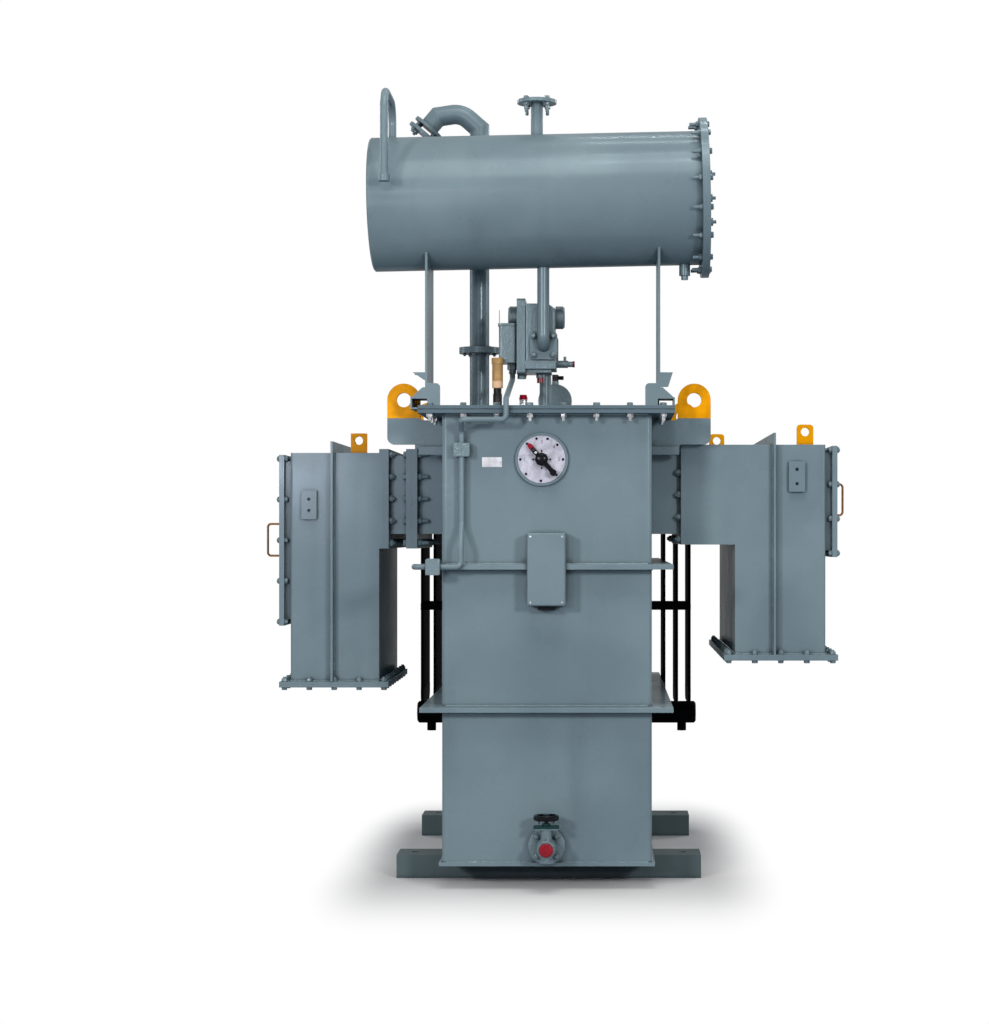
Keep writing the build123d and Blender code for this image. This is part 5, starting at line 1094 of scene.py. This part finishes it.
def bare_plate():
    """A small blank plate on the tank's front, held by two screws."""
    front_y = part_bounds("tank_shell")[0].y
    face_y = front_y - PLATE_THICK
    plate = bmesh.new()
    low = (PLATE_X - PLATE_WIDTH / 2, face_y, PLATE_Z - PLATE_HEIGHT / 2)
    high = (PLATE_X + PLATE_WIDTH / 2, front_y, PLATE_Z + PLATE_HEIGHT / 2)
    slab(plate, low, high, PLATE_THICK / 4)
    piece("blank_plate", plate, "white_plate")
    screws = bmesh.new()
    off = PLATE_WIDTH / 2 - PLATE_SCREW_INSET
    for x in (PLATE_X - off, PLATE_X + off):
        screw_head(screws, Vector((x, face_y, PLATE_Z)), FRONT, PLATE_SCREW)
    piece("blank_plate_screws", screws, "zinc")


def front_box_hardware():
    """Screws in the corners of the front terminal box's lid."""
    screws = bmesh.new()
    low, high = part_box("front_terminal_box", lambda place: place.y < LID_BEFORE_Y)
    for x in (low.x + LID_SCREW_INSET, high.x - LID_SCREW_INSET):
        for z in (low.z + LID_SCREW_INSET, high.z - LID_SCREW_INSET):
            screw_head(screws, Vector((x, low.y, z)), FRONT, LID_SCREW)
    piece("front_box_screws", screws, "zinc")


def drain_hardware():
    """Bolts in the drain valve's flanges, a ring round its plug and studs in its bonnet."""
    bolts = bmesh.new()
    low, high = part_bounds("drain_neck")
    centre = Vector((0, low.y, (low.z + high.z) / 2))
    radius = (high.z - low.z) / 2 * DRAIN_BOLT_CIRCLE_SHARE
    for number, place in enumerate(places_round(centre, RIGHT, UP, radius, 4, math.pi / 4)):
        front = place + FRONT * DRAIN_FLANGE_THICK
        nut(bolts, front, FRONT, SMALL_BOLT, spin_at(number), SHORT_TIP_SHARE)
        bolt_head(bolts, place + BACK * DRAIN_FLANGE_THICK, BACK, LESSER_BOLT, DRAIN_SPIN)
    low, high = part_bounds("drain_plug")
    outlet = Vector((0, high.y, (low.z + high.z) / 2))
    radius = (high.x - low.x) / 2
    inner = radius + OUTLET_RING_INNER_GAP
    rim = bmesh.new()
    ring(rim, standing(outlet, FRONT), inner, radius + OUTLET_RING_OUTER_GAP, OUTLET_RING_THICK)
    piece("drain_outlet_ring", rim, "weld")
    stem_y = box_middle("drain_handwheel").y
    bonnet_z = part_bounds("drain_valve_body")[1].z
    for side in (-1, 1):
        place = Vector((side * BONNET_STUD_OFF, stem_y, bonnet_z))
        nut(bolts, place, UP, BONNET_STUD, spin_at(side), STUD_TIP_SHARE)
    piece("drain_valve_bolts", bolts, "weld")


def relay_details():
    """Window glass on both sides of the gas relay, and the red cap of its cock."""
    glass = bmesh.new()
    for outward, name in ((RIGHT, "gas_relay_body"), (LEFT, "relay_terminal_box")):
        low, high = part_box(name, lambda place: place.z > WINDOW_FROM_Z)
        face_x = high.x if outward.x > 0 else low.x
        place = Vector((face_x, WINDOW_Y, WINDOW_Z)) - outward * GLASS_DEPTH
        turned(glass, standing(place, outward), GLASS_PROFILE)
    piece("relay_glass", glass, "dark_glass")
    low, high = part_box("gas_relay_body", lambda place: place.x > COCK_FROM_X)
    end = Vector((high.x, (low.y + high.y) / 2, COCK_Z))
    cap = bmesh.new()
    turned(cap, standing(end - RIGHT * CAP_COVER, RIGHT), CAP_PROFILE)
    piece("relay_cock_cap", cap, "dark_red")


def lug_plate(mesh, low, high, corner):
    """Adds an upright plate with a round hole and two rounded top corners."""
    eye = Vector(((low.x + high.x) / 2, 0, high.z - LUG_HOLE_DROP))
    outline = [Vector((low.x, 0, low.z)), Vector((high.x, 0, low.z))]
    for side, middle_x in ((0, high.x - corner), (1, low.x + corner)):
        for step in range(LUG_CORNER_STEPS + 1):
            turn = math.pi / 2 * (side + step / LUG_CORNER_STEPS)
            outline.append(Vector((middle_x, 0, high.z - corner)) + at_turn(turn) * corner)

    def turn_of(place):
        """How far round the eye a place lies."""
        return math.atan2(place.z - eye.z, place.x - eye.x) % math.tau

    hole = places_round(eye, RIGHT, UP, LUG_HOLE_RADIUS, ROUND_SIDES)
    loops = [sorted(loop, key=turn_of) for loop in (outline, hole)]
    sides = []
    for y in (low.y, high.y):
        corners = [[mesh.verts.new(place + BACK * y) for place in loop] for loop in loops]
        sides.append(corners)
        steps = [(turn_of(corner.co), which, corner) for which in (0, 1) for corner in corners[which]]
        latest = [loop[-1] for loop in corners]
        for _, which, corner in sorted(steps, key=lambda step: step[:2]):
            mesh.faces.new([*latest, corner])
            latest[which] = corner
    for front, back in zip(*sides):
        wall(mesh, front, back, len(front))


def box_lugs():
    """The cable boxes' small lugs: square-topped on the left, with rounded corners on the right."""
    plates = bmesh.new()
    sorts = (
        (LUG_CORNER_LEFT, on_left),
        (LUG_CORNER_RIGHT, lambda place: place.x > 0 and place.y < 0),
        (LUG_CORNER_RIGHT, lambda place: place.x > 0 and place.y > 0),
    )
    for corner, keep in sorts:
        low, high = part_box("cable_box_lugs", keep)
        lug_plate(plates, low, high, corner)
    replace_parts(piece("box_lug_plates", plates, "yellow_paint"), "cable_box_lugs")


def tank_welds():
    """Fillet welds at the bands, the rim and the floor of the tank."""
    beads = bmesh.new()
    low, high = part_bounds("tank_shell")
    bands = [round(corner.z, 3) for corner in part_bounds("tank_stiffeners")]
    joints = [(bands[0], -1), (MIDDLE_BAND_UNDER_Z, -1), (LOWER_BAND_TOP_Z, 1), (bands[1], 1)]
    joints += [(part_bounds("tank_floor")[1].z, 1), (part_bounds("tank_rim_flange")[0].z, -1)]
    for z, rise in joints:
        beads_round(beads, (low.x, high.x), (low.y, high.y), z, rise, TANK_CORNER)
    piece("tank_welds", beads, "weld")


def box_welds():
    """Fillet welds on the rims at the feet of both cable boxes and beside their stiffeners."""
    beads = bmesh.new()
    boxes = (("lv_cable_box", on_right, LV_LEG_RIM), ("hv_cable_box", on_left, HV_LEG_RIM))
    for name, keep, (rim_z, rim_width) in boxes:
        seek = (rim_z - RIM_SEEK_BELOW, rim_z + RIM_SEEK_ABOVE)
        low, high = part_box(name, lambda place: seek[0] < place.z < seek[1])
        x_range = (low.x + rim_width, high.x - rim_width)
        y_range = (low.y + rim_width, high.y - rim_width)
        beads_round(beads, x_range, y_range, rim_z, 1)
        low, high = part_box("cable_box_stiffeners", keep)
        top_z = high.z - BAR_BEAD_STOP
        for x, facing in ((low.x, LEFT), (high.x, RIGHT)):
            for y, out in zip(y_range, (FRONT, BACK)):
                ends = ((x, y, rim_z), (x, y, top_z))
                bead(beads, *ends, facing + out, BAR_BEAD_SIZE)
    piece("box_welds", beads, "weld")


def support_welds():
    """Fillet welds beside the main lifting lugs, and between the drum and its saddle plates."""
    beads = bmesh.new()
    for side in (LEFT, RIGHT):
        for lug_y in LUG_PAIRS_Y:
            for y, facing in zip(lug_y, (FRONT, BACK)):
                ends = [(side.x * TANK_SIDE_X, y, z) for z in LUG_BEAD_Z]
                bead(beads, *ends, facing + side)
    for plate in SADDLES_X:
        for x, facing in zip(plate, (LEFT, RIGHT)):
            drum_z = DRUM_MIDDLE_Z + math.tan(DRUM_TILT) * x
            for number in range(SADDLE_STEPS):
                shares = [2 * (number + step) / SADDLE_STEPS - 1 for step in (0, 1)]
                turns = [math.asin(SADDLE_HALF * share / DRUM_RADIUS) for share in shares]
                offsets = [(DRUM_RADIUS * math.sin(t), DRUM_RADIUS * math.cos(t)) for t in turns]
                ends = [(x, DRUM_Y + along, drum_z - down) for along, down in offsets]
                bead(beads, *ends, facing + DOWN, SADDLE_BEAD_SIZE)
    piece("support_welds", beads, "weld")


def seen_ray(tree):
    """1 for rays from the eye and those that gloss or glass passes on."""
    path = node(tree, "LightPath")
    shiny = maths(tree, "MAXIMUM", path.outputs["Is Glossy Ray"], path.outputs["Is Transmission Ray"])
    return maths(tree, "MAXIMUM", path.outputs["Is Camera Ray"], shiny)


def floor_finish():
    """A pale floor that turns white away from the object, and stays dim in its light.
    Near the rails it keeps its lit grey: a painted shadow, narrow at the sides and wide in front,
    over the real shadow.
    """
    material, tree, place = new_material("pale_floor")
    tone = patches(tree, place, FLOOR_CLOUDS_PER_METRE)
    colour = mixed(tree, tone, FLOOR_COLOUR, FLOOR_SHADE)
    lit = node(tree, "BsdfDiffuse", {"Color": colour}).outputs["BSDF"]
    glow = node(tree, "Emission", {"Color": WHITE, "Strength": 1.0}).outputs["Emission"]
    axes = node(tree, "SeparateXYZ", {"Vector": place}).outputs
    low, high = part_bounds("base_rails")
    half_x = (high.x - low.x) / 2
    aside = maths(tree, "SUBTRACT", maths(tree, "ABSOLUTE", axes["X"], 0), half_x)
    ahead = maths(tree, "SUBTRACT", low.y, axes["Y"])
    behind = maths(tree, "SUBTRACT", axes["Y"], high.y)
    away = times(tree, maths(tree, "MAXIMUM", aside, 0), PAINTED_SHADOW_SIDE_SQUEEZE)
    along = maths(tree, "MAXIMUM", maths(tree, "MAXIMUM", ahead, behind), 0)
    squares = maths(tree, "ADD", times(tree, away, away), times(tree, along, along))
    # Painted shadow: grey near the rails, fading to white farther out
    share = ramp(tree, maths(tree, "POWER", squares, 0.5), 0, PAINTED_SHADOW_REACH)
    bright = node(tree, "MixShader", {0: share, 1: lit, 2: glow}).outputs["Shader"]
    dim = node(tree, "BsdfDiffuse", {"Color": FLOOR_TO_OBJECT}).outputs["BSDF"]
    inputs = {0: seen_ray(tree), 1: dim, 2: bright}
    close(tree, node(tree, "MixShader", inputs).outputs["Shader"])
    return material


def floor():
    """The floor, which keeps the object's shadow and adds a painted shadow round the rails."""
    mesh = bmesh.new()
    near, far = -FLOOR_HALF, FLOOR_HALF
    corners = [(near, near), (far, near), (far, far), (near, far)]
    mesh.faces.new([mesh.verts.new((x, y, 0)) for x, y in corners])
    data = bpy.data.meshes.new("floor")
    mesh.to_mesh(data)
    mesh.free()
    data.materials.append(floor_finish())
    linked("floor", data)


def sky():
    """A white sky that lights the object as a faint blue one."""
    world = bpy.data.worlds.new("studio")
    world.use_nodes = True
    tree = world.node_tree
    tree.nodes.clear()
    white = node(tree, "Background", {"Color": WHITE, "Strength": 1.0})
    fill = node(tree, "Background", {"Color": FILL_COLOUR, "Strength": FILL_LEVEL})
    inputs = {0: seen_ray(tree), 1: fill.outputs["Background"], 2: white.outputs["Background"]}
    both = node(tree, "MixShader", inputs).outputs["Shader"]
    node(tree, "OutputWorld", {"Surface": both})
    bpy.context.scene.world = world


def lamp(name, place, target, size, watts, tint=PLAIN_LIGHT, length=None):
    """A soft light that faces a target: a square, or a strip where it has a length."""
    data = bpy.data.lights.new(name, "AREA")
    data.shape = "RECTANGLE" if length else "SQUARE"
    data.size = length or size
    if length:
        data.size_y = size
    data.energy = watts
    data.color = tint
    made = linked(name, data)
    made.location = place
    made.rotation_euler = (Vector(target) - Vector(place)).to_track_quat("-Z", "Y").to_euler()


def lights():
    """Lamps in front, overhead, beside and behind, and the tubes over the drum."""
    for name, place, target, size, watts, tint in LAMPS:
        lamp(name, place, target, size, watts, tint)
    for number, (place, target, thickness, length, watts) in enumerate(TUBES):
        lamp(f"tube_{number}", place, target, thickness, watts, length=length)


def camera():
    """The camera that took the picture."""
    data = bpy.data.cameras.new("camera")
    long_side = max(PICTURE_WIDTH, PICTURE_HEIGHT)
    data.sensor_width = SENSOR_MM
    data.lens = FOCAL_LENGTH_PX / long_side * SENSOR_MM
    data.shift_x = (PICTURE_WIDTH / 2 - VANISHING_X) / long_side
    data.shift_y = (VANISHING_Y - PICTURE_HEIGHT / 2) / long_side
    made = linked("camera", data)
    made.location = CAMERA_PLACE
    made.rotation_euler = (math.pi / 2, 0, 0)
    bpy.context.scene.camera = made


camera()
lights()
floor()
sky()
dress_nodes()
rim_hardware()
flange_hardware()
inspection_hardware()
gland_hardware()
end_cover_hardware()
pipe_hardware()
vent_mouth_hardware()
dial_details()
handle_details()
bare_plate()
front_box_hardware()
drain_hardware()
relay_details()
box_lugs()
tank_welds()
box_welds()
support_welds()

bpy.context.scene.view_settings.view_transform = "Standard"
